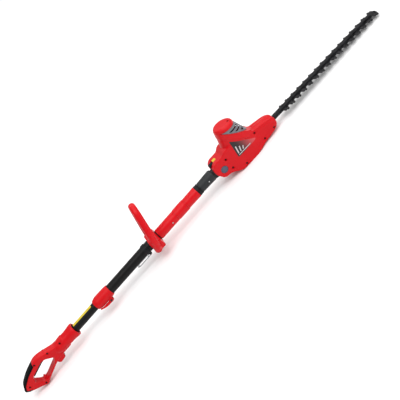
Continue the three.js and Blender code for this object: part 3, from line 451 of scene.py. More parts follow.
def rod(axis, radius, low, high, centre=(0, 0), sides=48):
    """A plain round bar."""
    rings = []
    for place in (low, high):
        rings.append([LIFT[axis](centre[0] + radius * math.cos(2 * math.pi * i / sides),
                                 centre[1] + radius * math.sin(2 * math.pi * i / sides), place)
                      for i in range(sides)])
    return skin(rings)


# %% From solids to objects
def new_object(name, mesh):
    obj = bpy.data.objects.new(name, mesh)
    bpy.context.scene.collection.objects.link(obj)
    return obj


def joined(name, solids):
    """One object from several solids, its doubles merged and its faces turned outwards."""
    points, faces = [], []
    for solid_points, solid_faces in solids:
        shift = len(points)
        points += solid_points
        faces += [tuple(i + shift for i in face) for face in solid_faces]
    mesh = bpy.data.meshes.new(name)
    mesh.from_pydata([tuple(p) for p in points], [], faces)
    tidy = bmesh.new()
    tidy.from_mesh(mesh)
    bmesh.ops.remove_doubles(tidy, verts=tidy.verts, dist=0.0005)
    bmesh.ops.dissolve_degenerate(tidy, edges=tidy.edges, dist=0.0005)
    bmesh.ops.recalc_face_normals(tidy, faces=tidy.faces)
    tidy.to_mesh(mesh)
    tidy.free()
    return new_object(name, mesh)


def mesh_solid(obj):
    """An object's mesh as a plain solid; the object is removed."""
    points = [vertex.co.copy() for vertex in obj.data.vertices]
    faces = [tuple(polygon.vertices) for polygon in obj.data.polygons]
    bpy.data.objects.remove(obj)
    return points, faces


def evaluated(obj):
    """The object's mesh with its modifiers applied, which are then removed."""
    bpy.context.view_layer.update()
    depsgraph = bpy.context.evaluated_depsgraph_get()
    mesh = bpy.data.meshes.new_from_object(obj.evaluated_get(depsgraph))
    obj.modifiers.clear()
    old = obj.data
    obj.data = mesh
    bpy.data.meshes.remove(old)
    return obj


def cut(obj, *cutters, operation="DIFFERENCE"):
    """Takes solids away from an object, or joins them to it, one boolean at a time."""
    for index, cutter in enumerate(cutters):
        tool = joined(f"cutter_{index}", [cutter])
        boolean = obj.modifiers.new("cut", "BOOLEAN")
        boolean.operation = operation
        boolean.solver = "MANIFOLD"
        boolean.object = tool
        evaluated(obj)
        bpy.data.objects.remove(tool)
    return obj


def united(name, solids):
    """One closed skin round several solids that overlap."""
    return cut(joined(name, solids[:1]), *solids[1:], operation="UNION")


def melted(obj, voxel, passes):
    """Welds overlapping solids into one skin and softens every edge, as a moulding's radii do."""
    remesh = obj.modifiers.new("weld", "REMESH")
    remesh.mode = "VOXEL"
    remesh.voxel_size = voxel
    relax = obj.modifiers.new("soften", "SMOOTH")
    relax.factor = 0.5
    relax.iterations = passes
    return evaluated(obj)


CRISP_ANGLE = math.radians(35)


def shade(obj):
    """Smooth shading that stays crisp over sharper edges."""
    tidy = bmesh.new()
    tidy.from_mesh(obj.data)
    for face in tidy.faces:
        face.smooth = True
    for edge in tidy.edges:
        edge.smooth = len(edge.link_faces) == 2 and edge.calc_face_angle(0) < CRISP_ANGLE
    tidy.to_mesh(obj.data)
    tidy.free()
    return obj


def dress(obj, material, body, slot, *nodes, place=POLE):
    """Places a finished mesh, gives it its material and body, and lets it stand for its CAD nodes."""
    obj.data.transform(place)
    shade(obj)
    obj.data.materials.clear()
    obj.data.materials.append(material)
    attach(obj, body)
    if nodes:
        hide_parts(*nodes)
    print(f"{obj.name}: {len(obj.data.polygons)} faces")
    return obj


# %% [markdown]
# ## Repeats with Geometry Nodes
# Screws, tick marks, ribs and teeth repeat, so one small node tree sets an instance on every point of a
# carrier mesh. Its size is a named input. Instances are realised and given their material in the tree,
# and the result becomes a plain mesh.

# %% Repeat tree
def repeat_tree(source, material):
    tree = bpy.data.node_groups.new(f"repeat_{source.name}", "GeometryNodeTree")
    tree.interface.new_socket("Geometry", in_out="INPUT", socket_type="NodeSocketGeometry")
    size = tree.interface.new_socket("Size", in_out="INPUT", socket_type="NodeSocketFloat")
    size.default_value = 1.0
    tree.interface.new_socket("Geometry", in_out="OUTPUT", socket_type="NodeSocketGeometry")
    start = tree.nodes.new("NodeGroupInput")
    end = tree.nodes.new("NodeGroupOutput")
    shape = chain(tree, "GeometryNodeObjectInfo")
    shape.inputs["Object"].default_value = source
    spread = chain(tree, "GeometryNodeInstanceOnPoints")
    real = chain(tree, "GeometryNodeRealizeInstances")
    paint = chain(tree, "GeometryNodeSetMaterial")
    paint.inputs["Material"].default_value = material
    link = tree.links.new
    link(start.outputs["Geometry"], spread.inputs["Points"])
    link(shape.outputs["Geometry"], spread.inputs["Instance"])
    link(start.outputs["Size"], spread.inputs["Scale"])
    link(spread.outputs["Instances"], real.inputs["Geometry"])
    link(real.outputs["Geometry"], paint.inputs["Geometry"])
    link(paint.outputs["Geometry"], end.inputs["Geometry"])
    return tree, size.identifier


def repeated(name, solids, places, material, size=1.0):
    """Copies of some solids, drawn round the origin, at every place."""
    source = joined(f"{name}_source", solids)
    shade(source)
    carrier_mesh = bpy.data.meshes.new(name)
    carrier_mesh.from_pydata([tuple(p) for p in places], [], [])
    carrier = new_object(name, carrier_mesh)
    tree, size_socket = repeat_tree(source, material)
    modifier = carrier.modifiers.new("repeat", "NODES")
    modifier.node_group = tree
    modifier[size_socket] = size
    evaluated(carrier)
    bpy.data.objects.remove(source)
    return carrier


# %% [markdown]
# ## Pole tubes
# Two drawn aluminium tubes, painted satin black, one sliding in the other. A tube is the simplest turned
# shape, but its ends matter: the cut edge has a small radius that catches the light.

# %% Tubes
OUTER_R, INNER_R = 17.5, 14.5


def tube_profile(low, high, outer, inner):
    edge = 0.5
    return rounded([(low, inner), (high, inner, edge), (high, outer, edge), (low, outer, edge)])


outer_tube = joined("outer_pole", [turned(tube_profile(*span("outer_tube"), OUTER_R, 16), sides=128)])
dress(outer_tube, tube_paint, "pole", "tube_paint", "outer_tube")
inner_tube = joined("inner_pole", [turned(tube_profile(*span("inner_tube"), INNER_R, 12.4), sides=128)])
dress(inner_tube, tube_paint, "rear_handle", "tube_paint", "inner_tube")

# %% [markdown]
# ## Setting scale on the inner tube
# A yellow film strip wraps the top of the inner tube, with printed marks that count the extension.
# It follows the tube's curve, so it is a thin bent plate: a grid over an angle and a length.

# %% Scale strip
STRIP_HALF_ANGLE = math.radians(25)
label_low, label_high = span("scale_label")


def bent_plate(low, high, half_angle, inner, outer, columns=16, rows=2):
    rings = []
    for k in range(rows + 1):
        x = low + (high - low) * k / rows
        ring = []
        for radius, order in ((outer, 1), (inner, -1)):
            for i in range(columns + 1):
                angle = half_angle * (2 * i / columns - 1) * order
                ring.append(Vector((x, radius * math.sin(angle), radius * math.cos(angle))))
        rings.append(ring)
    return skin(rings)


plate = bent_plate(label_low, label_high, STRIP_HALF_ANGLE, INNER_R + 0.02, INNER_R + 0.2)
strip = joined("scale_strip", [plate])
dress(strip, yellow, "rear_handle", "label_yellow", "scale_label")
tick = bent_plate(-0.35, 0.35, math.radians(9), INNER_R + 0.21, INNER_R + 0.26, columns=6, rows=1)
ticks = repeated("scale_ticks", [tick], [(label_low + 6 + 5 * k, 0, 0) for k in range(15)], ink)
dress(ticks, ink, "rear_handle", "label_yellow")

# %% [markdown]
# ## Grip sleeve
# Three red sleeves cover the front of the pole: a plain rear one, a raised collar and a flared front one.
# They are turned, with rolled ends and shallow grooves where a real mould's parts meet.

# %% Sleeves
SLEEVE_BORE = 17.8
SLEEVE_ROLL = 1.2


def sleeve_profile(low, high, front, back, grooves):
    corners = [(low, SLEEVE_BORE, 0), (high, SLEEVE_BORE, 0), (high, front, SLEEVE_ROLL)]
    for place in sorted(grooves, reverse=True):
        radius = back + (front - back) * (place - low) / (high - low)
        corners += [(place + 0.7, radius, 0.3), (place, radius - 0.45, 0.3), (place - 0.7, radius, 0.3)]
    corners.append((low, back, SLEEVE_ROLL))
    return rounded(corners)


def make_sleeves():
    rear_low, rear_high = span("sleeve_rear")
    collar_low, collar_high = span("sleeve_collar")
    front_low, front_high = span("sleeve_front")
    rear = joined("grip_sleeve_rear", [turned(sleeve_profile(rear_low, rear_high, 19.2, 19.2,
                                                             [rear_high - 6]))])
    cut(rear, rod("y", 3.0, -30, -18.4, (rear_low + 60, 0)))
    dress(rear, red, "pole", "red_plastic", "sleeve_rear")
    collar = joined("grip_sleeve_collar", [turned(sleeve_profile(collar_low, collar_high, 20.4, 20.4,
                                                                 [collar_low + 4, collar_high - 4]))])
    dress(collar, red, "pole", "red_plastic", "sleeve_collar")
    front = joined("grip_sleeve_front", [turned(sleeve_profile(front_low, front_high, 19.9, 19.0,
                                                               [front_low + 20]))])
    dress(front, red, "pole", "red_plastic", "sleeve_front")


make_sleeves()

# %% Seal ring
ring_low, ring_high = span("seal_ring")
ring_corners = [(ring_low, SLEEVE_BORE, 0), (ring_high, SLEEVE_BORE, 0), (ring_high, 19.3, 0.8),
                (ring_high - 3, 19.3, 0.6), (ring_high - 4, 18.7, 0.5), (ring_low + 7, 18.5, 0.5),
                (ring_low + 5.6, 19.4, 0.6), (ring_low, 19.4, 0.8)]
seal = joined("seal_rings", [turned(rounded(ring_corners))])
dress(seal, black, "pole", "black_plastic", "seal_ring")

# %% [markdown]
# ## Adapter and tongue
# The grey adapter joins the pole to the head. Its round body narrows into a flat tongue that sits between
# the head's cheeks. The two are drawn apart, welded by a voxel remesh and softened, like one casting.

# %% Adapter
KNUCKLE_REACH = 36
adapter_back = span("adapter")[0] + 28


def make_adapter():
    body_corners = [(adapter_back, 0, 0), (adapter_back, 17.9, 0.8), (adapter_back + 6, 18.4, 0.4),
                    (-KNUCKLE_REACH - 6, 20, 1), (-KNUCKLE_REACH, 18.2, 1.5), (-KNUCKLE_REACH, 0, 0)]
    body = turned([(x, max(r, 0.01)) for x, r in rounded(body_corners)])
    tongue = prism("y", [(-KNUCKLE_REACH - 12, -15, 0), (-9, -25, 4), (9, -25, 9), (17, -8, 9), (9, 9, 9),
                         (-9, 9, 4), (-KNUCKLE_REACH - 12, 14, 0)], -10, 10, rim=1.2)
    obj = united("pole_adapter", [body, tongue])
    cut(obj, rod("y", 5.3, -20, 20, (0, -PIVOT_DROP)), rod("y", 3.3, -30, -16, (adapter_back + 35, 0)))
    melted(obj, 0.8, 3)
    spigot = joined("adapter_spigot", [turned(tube_profile(adapter_back - 28, adapter_back + 1, 15.7, 6))])
    dress(obj, grey, "pole", "grey_plastic", "adapter")
    dress(spigot, grey, "pole", "grey_plastic")


make_adapter()

# %% [markdown]
# ## Screws
# Pan-head cross screws close the mouldings. One screw is drawn at the origin: a turned pan with a
# cross recess pressed in, and the repeat tree sets it at each place.

# %% Screw
def screw_solids(head):
    """A pan head of some radius that faces -Y, with a cross recess."""
    rise = 1.5
    corners = [(0, 0, 0), (0, head, 0.2), (-rise, head * 0.86, 0.9), (-rise * 1.1, head * 0.4, 0.5),
               (-rise * 1.1, 0, 0)]
    pan = turned([(x, max(r, 0.004)) for x, r in rounded(corners)], "y", sides=32)
    obj = joined("screw_draft", [pan])
    slot = head * 0.62
    for u, v in ((slot, head * 0.15), (head * 0.15, slot)):
        cut(obj, prism("y", [(-u, -v, 0), (u, -v, 0), (u, v, 0), (-u, v, 0)], -4, -rise * 0.35))
    return [mesh_solid(obj)]


pole_screws = repeated("pole_screws", screw_solids(2.4), [(span("sleeve_rear")[0] + 60, -18.2, 0),
                                                          (adapter_back + 35, -17.4, 0)], steel)
dress(pole_screws, steel, "pole", "bright_steel", "sleeve_screw", "adapter_screw")

# %% [markdown]
# ## Telescope clamp
# A red barrel grips the inner tube when its lever is folded down. The barrel is turned with a dark
# chamfered mouth at the front; the lever is a shaped tab on a pin between two ears. All three are rolled
# round the pole by the angle read from the CAD pin's place, about thirty degrees.

# %% Clamp
clamp_back, clamp_front = span("clamp_collar")
pin_low, pin_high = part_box("clamp_pin")
pin_mm = POLE.inverted() @ ((pin_low + pin_high) / 2)
LEVER_ROLL = math.atan2(-pin_mm.y, -pin_mm.z)
CLAMP = POLE @ Matrix.Rotation(-LEVER_ROLL, 4, "X")
lever_pin = (pin_mm.x, -math.hypot(pin_mm.y, pin_mm.z))


def make_clamp():
    barrel_corners = [(clamp_back, 15.1, 0), (clamp_front - 3, 15.1, 0), (clamp_front, 18.2, 0),
                      (clamp_front, 19.4, 0.6), (clamp_front - 4, 20.6, 2), (clamp_front - 18, 22, 6),
                      (clamp_back + 14, 22, 6), (clamp_back + 1, 18.4, 2), (clamp_back, 17.4, 0.8)]
    barrel = turned(rounded(barrel_corners, 5))
    x, z = lever_pin
    ear = [(x - 8, -17, 1), (x - 5, z - 4, 3.5), (x + 5, z - 4, 3.5), (x + 8, -17, 1)]
    ears = [prism("y", ear, low, low + 3, rim=0.7) for low in (-11.1, 8.1)]
    pads = [prism("z", [(clamp_back + 16, -5, 2), (clamp_front - 34, -5, 2), (clamp_front - 34, 5, 2),
                        (clamp_back + 16, 5, 2)], 17, 22, rim=0.6)]
    obj = united("clamp_barrel", [barrel, *ears, *pads])
    cut(obj, rod("y", 2.3, -14, 14, lever_pin))
    melted(obj, 0.75, 3)
    dress(obj, red_grip, "pole", "red_plastic", "clamp_collar", place=CLAMP)
    end = x - 44
    shape = [(x + 4, z - 3, 2), (x + 4, z + 3.5, 3), (x - 4, z + 4.8, 1), (end + 8, z + 5, 2),
             (end - 2, z + 8, 2), (end - 4, z + 4, 3), (end + 16, z - 4, 8), (x, z - 5, 4)]
    lever = joined("clamp_flap", [prism("y", shape, -7.5, 7.5, rim=1.1)])
    cut(lever, rod("y", 2.3, -9, 9, lever_pin))
    dress(lever, red_grip, "lever", "red_plastic", "clamp_lever", place=CLAMP)
    rivet = [(-14, 0.01), (-14, 3.2), (-13.2, 3.6), (-12, 3.6), (-12, 2), (11.6, 2), (12.2, 1.4),
             (12.2, 0.01)]
    pin = joined("clamp_rivet", [turned(rivet, "y", lever_pin, 48)])
    dress(pin, dark_steel, "pole", "dark_steel", "clamp_pin", place=CLAMP)


make_clamp()

# %% [markdown]
# ## Rear handle
# The D grip is one thick red moulding: a flared barrel round the inner tube, a leaning D with a finger
# opening, and a lug for the mains inlet. Its side outline is pushed across the width with deep rims,
# welded to the turned barrel and softened, then split in two halves along the middle.

# %% Handle outlines
HANDLE_HALF = 16
HANDLE_RIM = 6.5
BUTTON_PLACE = (RIM_X - 128, 26)
handle_corners = [(-50, 22.5, 0), (-84, 19.5, 14), (-142, 40, 12), (-162, 42, 12), (-216, 26, 20),
                  (-254, 6, 12), (-268, -13, 6), (-258, -25, 6), (-199, -58, 10), (-188, -51, 7),
                  (-125, -27, 7), (-92, -22.5, 5), (-50, -22.5, 0)]
opening_corners = [(-114, -4, 6), (-137, 17, 6), (-152, 21, 6), (-207, 5, 6), (-221, -16, 6),
                   (-205, -38, 6), (-186, -41, 7), (-131, -21, 7)]
lug_corners = [(-122, -14, 0), (-122, -34, 6), (-117, -40, 5), (-96, -38, 6), (-90, -30, 6), (-88, -14, 0)]
trigger_corners = [(-142, 22, 2), (-144, 14, 3), (-152, 12.9, 3), (-206, -2, 3), (-212, 4, 4),
                   (-206, 11, 3), (-152, 26.2, 2)]
trigger_room = [(-140, 37, 0), (-140, 12, 0), (-152, 11.5, 0), (-207, -4, 0), (-214, 4, 0),
                (-207, 13, 0), (-152, 34, 0)]
spring_nest = [(-168, 20, 0), (-153, 20, 0), (-153, 37.5, 0), (-168, 37.5, 0)]
hook_corners = [(-199, -44, 0), (-193, -28, 2), (-188, -27, 2), (-185, -44, 0)]
inlet_corners = [(-119, -10, 0), (-93, -10, 0), (-93, 10, 0), (-119, 10, 0)]
handle_screws = [(-66, 15), (-116, 24), (-172, 31), (-243, -12), (-202, -46)]


def from_rim(corners):
    return [(corner[0] + RIM_X, *corner[1:]) for corner in corners]


def handle_solid():
    return prism("y", from_rim(handle_corners), -HANDLE_HALF, HANDLE_HALF, rim=HANDLE_RIM, steps=6)


# %% Handle body
HALF_SPACE = 2000
PARTING = 0.15


def side_of(obj, name, low, high):
    """A copy of a solid, kept only between two corners."""
    part = new_object(name, obj.data.copy())
    (x0, y0, z0), (x1, y1, z1) = low, high
    return cut(part, prism("z", [(x0, y0), (x1, y0), (x1, y1), (x0, y1)], z0, z1), operation="INTERSECT")


def halves(obj, name, body, material, slot, nodes, place):
    """Splits a moulding at y = 0 into two closed halves with a fine parting line between."""
    far = HALF_SPACE
    for side, low, high in (("left", (-far, PARTING, -far), (far, far, far)),
                            ("right", (-far, -far, -far), (far, -PARTING, far))):
        half = side_of(obj, f"{name}_{side}", low, high)
        dress(half, material, body, slot, nodes[side], place=place)
    bpy.data.objects.remove(obj)


def make_handle():
    barrel_corners = [(-98, 0.01, 0), (-98, 16, 3), (-80, 22.5, 8), (-30, 22.5, 14), (-8, 25.3, 6),
                      (0, 24.6, 2), (0, 19.5, 1), (-14, 16.2, 1), (-14, 0.01, 0)]
    barrel = turned(rounded(from_rim(barrel_corners), 6))
    lug = prism("y", from_rim(lug_corners), -13, 13, rim=4)
    obj = united("handle_draft", [barrel, handle_solid(), lug])
    cut(obj, prism("y", from_rim(opening_corners), -40, 40))
    cut(obj, prism("y", from_rim(hook_corners), -5, 5, rim=1.2), operation="UNION")
    bores = [rod("y", 4.2, -30, -HANDLE_HALF + 3.4, (x + RIM_X, z)) for x, z in handle_screws]
    inlet = prism("z", from_rim(inlet_corners), -60, -15)
    button = rod("y", 6.7, 8, 40, BUTTON_PLACE)
    room = prism("y", from_rim(trigger_room), -9.6, 9.6)
    nest = prism("y", from_rim(spring_nest), -5, 5)
    tube_seat = rod("x", 14.9, RIM_X - 80, RIM_X + 5)
    cut(obj, *bores, inlet, button, room, nest, tube_seat, pad_zone(7.3))
    melted(obj, 1.05, 4)
    halves(obj, "handle_half", "rear_handle", red_grip, "red_plastic",
           {"left": "handle_shell_left", "right": "handle_shell_right"}, POLE)


def pad_zone(depth):
    """The strip along the grip's back that the rubber takes, down to a depth."""
    back = [(-172, 60), (-178, 24), (-222, 4), (-246, -26), (-290, -26), (-290, 60)]
    strip = joined("pad_draft", [prism("y", from_rim(back), -40, 40)])
    cut(strip, prism("y", moved_in(from_rim(handle_corners), depth), -60, 60))
    return mesh_solid(strip)


make_handle()

# %% [markdown]
# ## Rubber pad
# The pad fills a recess along the grip's back edge. It is the same outline with the same rims, kept only
# where the recess is, so it lies flush with the plastic. A coarse grain gives the palm a hold.

# %% Pad
def make_pad():
    grip = joined("pad_form", [handle_solid()])
    cut(grip, pad_zone(6.9), operation="INTERSECT")
    melted(grip, 0.9, 3)
    dress(grip, rubber, "rear_handle", "grip_rubber", "grip_pad")


make_pad()

# %% Trigger and lock-off button
def make_controls():
    trigger = joined("trigger_blade", [prism("y", from_rim(trigger_corners), -9, 9, rim=1.6)])
    cut(trigger, rod("y", 2.3, -12, 12, (RIM_X - 205, 4.5)))
    dress(trigger, black, "trigger_blade", "black_plastic", "trigger")
    dome = [(9, 0.01, 0), (9, 7.9, 0), (12.6, 7.9, 0.4), (12.6, 6, 0.2), (18.2, 6, 1.4), (18.9, 3, 1),
            (18.9, 0.01, 0)]
    button = joined("lock_off_cap", [turned(rounded(dome), "y", BUTTON_PLACE, 64)])
    dress(button, black, "button", "black_plastic", "lock_off_button")


make_controls()

# %% Handle screws
screw_places = [(x + RIM_X, -HANDLE_HALF + 3.2, z) for x, z in handle_screws]
handle_screw_heads = repeated("handle_screws", screw_solids(3.0), screw_places, dark_steel)
dress(handle_screw_heads, dark_steel, "rear_handle", "dark_steel")

# %% [markdown]
# ## Mains inlet
# A black socket block sits in the lug under the barrel, its mouth facing down, with two brass contacts.
# There is no lead: it plugs in from outside.

# %% Inlet
def make_inlet():
    x = RIM_X - 106
    block = [(x - 12.7, -9.7, 2), (x + 12.7, -9.7, 2), (x + 12.7, 9.7, 2), (x - 12.7, 9.7, 2)]
    socket = joined("inlet_socket", [prism("z", block, -37, -18, rim=0.5)])
    recess = [(x - 9, -6.5, 2.5), (x + 9, -6.5, 2.5), (x + 9, 6.5, 2.5), (x - 9, 6.5, 2.5)]
    cut(socket, prism("z", recess, -50, -27))
    dress(socket, black, "rear_handle", "black_plastic", "inlet_block")


make_inlet()

# %% [markdown]
# ## Loop handle
# The hand loop leans forward over the pole. Its arch is a tube that tapers towards the top, swept along a
# smooth curve, and it flows into a clamp block round the pole. The weld rounds the joint between them.

# %% Loop curve
LOOP_MIDDLE = (span("sleeve_rear")[0] - 4) - 25
LOOP_LEAN = math.tan(math.radians(18))


def smooth_path(points, count):
    """Points along a Catmull-Rom curve through the given ones."""
    path = []
    padded = [points[0] * 2 - points[1], *points, points[-1] * 2 - points[-2]]
    pieces = len(points) - 1
    for k in range(count + 1):
        t = k / count * pieces
        i = min(int(t), pieces - 1)
        s = t - i
        a, b, c, d = padded[i:i + 4]
        path.append(0.5 * (2 * b + (c - a) * s + (2 * a - 5 * b + 4 * c - d) * s ** 2
                           + (3 * b - a - 3 * c + d) * s ** 3))
    return path


def swept(path, widths, heights, side, sides=32):
    """A tube along a path: width lies along a fixed side direction, height across it."""
    rings = []
    for k, here in enumerate(path):
        along = (path[min(k + 1, len(path) - 1)] - path[max(k - 1, 0)]).normalized()
        across = (side - along * side.dot(along)).normalized()
        over = along.cross(across)
        ring = []
        for i in range(sides):
            angle = 2 * math.pi * i / sides
            ring.append(here + across * widths[k] * math.cos(angle) + over * heights[k] * math.sin(angle))
        rings.append(ring)
    return skin(rings)


def leaning(line, count):
    """A smooth path through (y, z) points that lean forward with the loop."""
    return smooth_path([Vector((LOOP_MIDDLE + z * LOOP_LEAN, y, z)) for y, z in line], count)


def make_loop():
    half = [(42, -12), (50, 8), (52, 36), (42, 76), (28, 119), (13, 136)]
    path = leaning([*half, (0, 139), *[(-y, z) for y, z in reversed(half)]], 96)
    flat = Vector((1, 0, -LOOP_LEAN)).normalized()
    from_top = [abs(k / 48 - 1) for k in range(97)]
    arch = swept(path, [11.6 + 0.8 * t for t in from_top], [9.8 + 0.6 * t ** 2 for t in from_top], flat)
    base_path = leaning([(42, -12), (30, -18), (0, -20), (-30, -18), (-42, -12)], 32)
    base = swept(base_path, [12.5] * 33, [10.5] * 33, flat)
    block = [(-44, -24, 10), (44, -24, 10), (46, 12, 10), (30, 22, 12), (-30, 22, 12), (-46, 12, 10)]
    saddle = prism("x", block, LOOP_MIDDLE - 13, LOOP_MIDDLE + 24, rim=5, steps=5)
    boss = turned(rounded([(LOOP_MIDDLE + 8, 0.01, 0), (LOOP_MIDDLE + 8, 24.5, 2),
                           (LOOP_MIDDLE + 25, 24, 3), (LOOP_MIDDLE + 25, 0.01, 0)], 5))
    obj = united("loop_body", [arch, base, saddle, boss])
    bore = rod("x", 17.9, LOOP_MIDDLE - 80, LOOP_MIDDLE + 80, sides=96)
    bolts = [rod("z", 4.3, -60, -21.4, (LOOP_MIDDLE + 4, y)) for y in (-24.5, 24.5)]
    cut(obj, bore, *bolts)
    melted(obj, 1.1, 5)
    far = HALF_SPACE
    for name, low, high, node in (("loop_upper", PARTING, far, "loop_handle"),
                                  ("loop_lower", -far, -PARTING, "loop_clamp")):
        half_loop = side_of(obj, name, (-far, -far, low), (far, far, high))
        dress(half_loop, red, "pole", "red_plastic", node)
    bpy.data.objects.remove(obj)


make_loop()

# %% [markdown]
# ## Strap band and clip
# A black band behind the loop carries a steel clip for the shoulder strap. The clip is a pressed plate
# with a long eye, rolled round its pin at one end.

# %% Band and clip
band_low, band_high = span("strap_band")


def make_strap_parts():
    band_corners = [(band_low, 17.8, 0), (band_high, 17.8, 0), (band_high, 19.9, 0.8), (band_low, 19.9, 0.8)]
    band = turned(rounded(band_corners))
    x = (band_low + band_high) / 2
    lug_side = [(x - 6, -18, 0), (x - 4, -27.9, 2.4), (x + 4, -27.9, 2.4), (x + 6, -18, 0)]
    lug = prism("y", lug_side, -4, 4, rim=0.7)
    obj = united("strap_collar", [band, lug])
    cut(obj, rod("y", 1.5, -8, 8, (x, -24.5)))
    dress(obj, black, "pole", "black_plastic", "strap_band")
    end = x - 62
    plate = [(x + 1.5, -9, 2), (x + 1.5, 9, 2), (end + 8, 9, 7), (end, 4, 2), (end, -4, 2), (end + 8, -9, 7)]
    clip = joined("strap_clip", [prism("z", plate, -25.7, -23.3, rim=0.5)])
    eye = [(x - 14, -5.5, 3), (x - 14, 5.5, 3), (end + 9, 5.5, 4), (end + 4, 0, 2), (end + 9, -5.5, 4)]
    slot = [(x - 10, -4.6, 0), (x + 20, -4.6, 0), (x + 20, 4.6, 0), (x - 10, 4.6, 0)]
    cut(clip, prism("z", eye, -40, 0), prism("z", slot, -40, 0))
    knuckles = [turned([(a, 1.5), (b, 1.5), (b, 2.4), (b - 0.3, 2.6), (a + 0.3, 2.6), (a, 2.4)],
                       "y", (x, -24.5), 32) for a, b in ((-8.5, -4.7), (4.7, 8.5))]
    clip = united("strap_clip_plate", [mesh_solid(clip), *knuckles])
    dress(clip, steel, "hook", "bright_steel", "strap_hook")


make_strap_parts()

# %% [markdown]
# ## Head housing
# The head is the trimmer's face: a fork at the back, a motor tower with a slanted belt, a gear box and a
# long nose with a half-round ridge. Each of these is a simple solid. They are welded and softened
# together, so their joints get the generous radii of a moulding, and then cut into two shells.

# %% Head outlines
TOWER_X, TOWER_R, TOWER_TOP, TOWER_TILT = 93, 36, 86, math.tan(math.radians(8))
head_side = [(-31, -4, 12), (-29, 20, 12), (-14, 31.6, 10), (22, 32, 6), (36, 42, 8), (144, 42, 6),
             (150, 12, 10), (205, 2, 8), (231, -8, 8), (231, -34, 10), (206, -45, 8), (140, -53, 10),
             (112, -58, 10), (48, -58, 8), (30, -48, 8), (8, -35, 8), (-16, -33, 12)]
head_plan = [(-34, -24, 3), (-20, -27, 6), (20, -27, 8), (44, -32, 10), (128, -32, 14), (158, -23.5, 12),
             (222, -22.5, 10), (234, -12, 6)]
core_plan = head_plan + [(x, -y, r) for x, y, r in reversed(head_plan)]


def tower_ring(x, z, half_x, half_y, tilt, sides=72):
    ring = []
    for i in range(sides):
        angle = 2 * math.pi * i / sides
        along = half_x * math.cos(angle)
        ring.append(Vector((x + along, half_y * math.sin(angle), z - along * tilt)))
    return ring


def tower_solid(less=0.0):
    """The motor tower, or a smaller one whose skin is set back by a wall."""
    return skin([tower_ring(TOWER_X, 0, 57 - less, 33 - less, 0),
                 tower_ring(TOWER_X, 34, 52 - less, 36 - less, TOWER_TILT),
                 tower_ring(TOWER_X, TOWER_TOP - less, TOWER_R - less, TOWER_R - less, TOWER_TILT)])


BELT_TOP, BELT_BOTTOM = ((64, 94), 0.85), ((68.5, 62.8), 0.84)


def slope_space(plane, lift, high, end=200):
    """The space over a plane that falls from the tower's back to its front, up to a height, or under it."""
    (x, z), fall = plane
    corners = [(0, z + x * fall + lift), (end, z - (end - x) * fall + lift), (end, high), (0, high)]
    return prism("y", corners, -80, 80)


def above_belt(lift, end=200):
    return slope_space(BELT_TOP, lift, 260, end)


def belt_band():
    """A raised band that wraps the tower just under the vent and ends in a round tongue on the nose."""
    rings = [tower_ring(99, 0, 61.5, 37.4, 0), tower_ring(97, 34, 56, 37.6, TOWER_TILT),
             tower_ring(TOWER_X, TOWER_TOP, 37.4, 37.4, TOWER_TILT),
             tower_ring(TOWER_X, 110, 30, 30, TOWER_TILT)]
    band = joined("belt_draft", [skin(rings)])
    cut(band, slope_space(BELT_BOTTOM, 0, -200), above_belt(0))
    return mesh_solid(band)


# %% Head body
head_screws = [(24, 14), (24, -26), (66, -50), (164, -40), (150, 4), (210, -36)]


def half_width(x):
    """How far the head's side stands from the middle, over its fork, gear box or nose."""
    if x < 30:
        return 27
    return 32 if x < 140 else 23.5


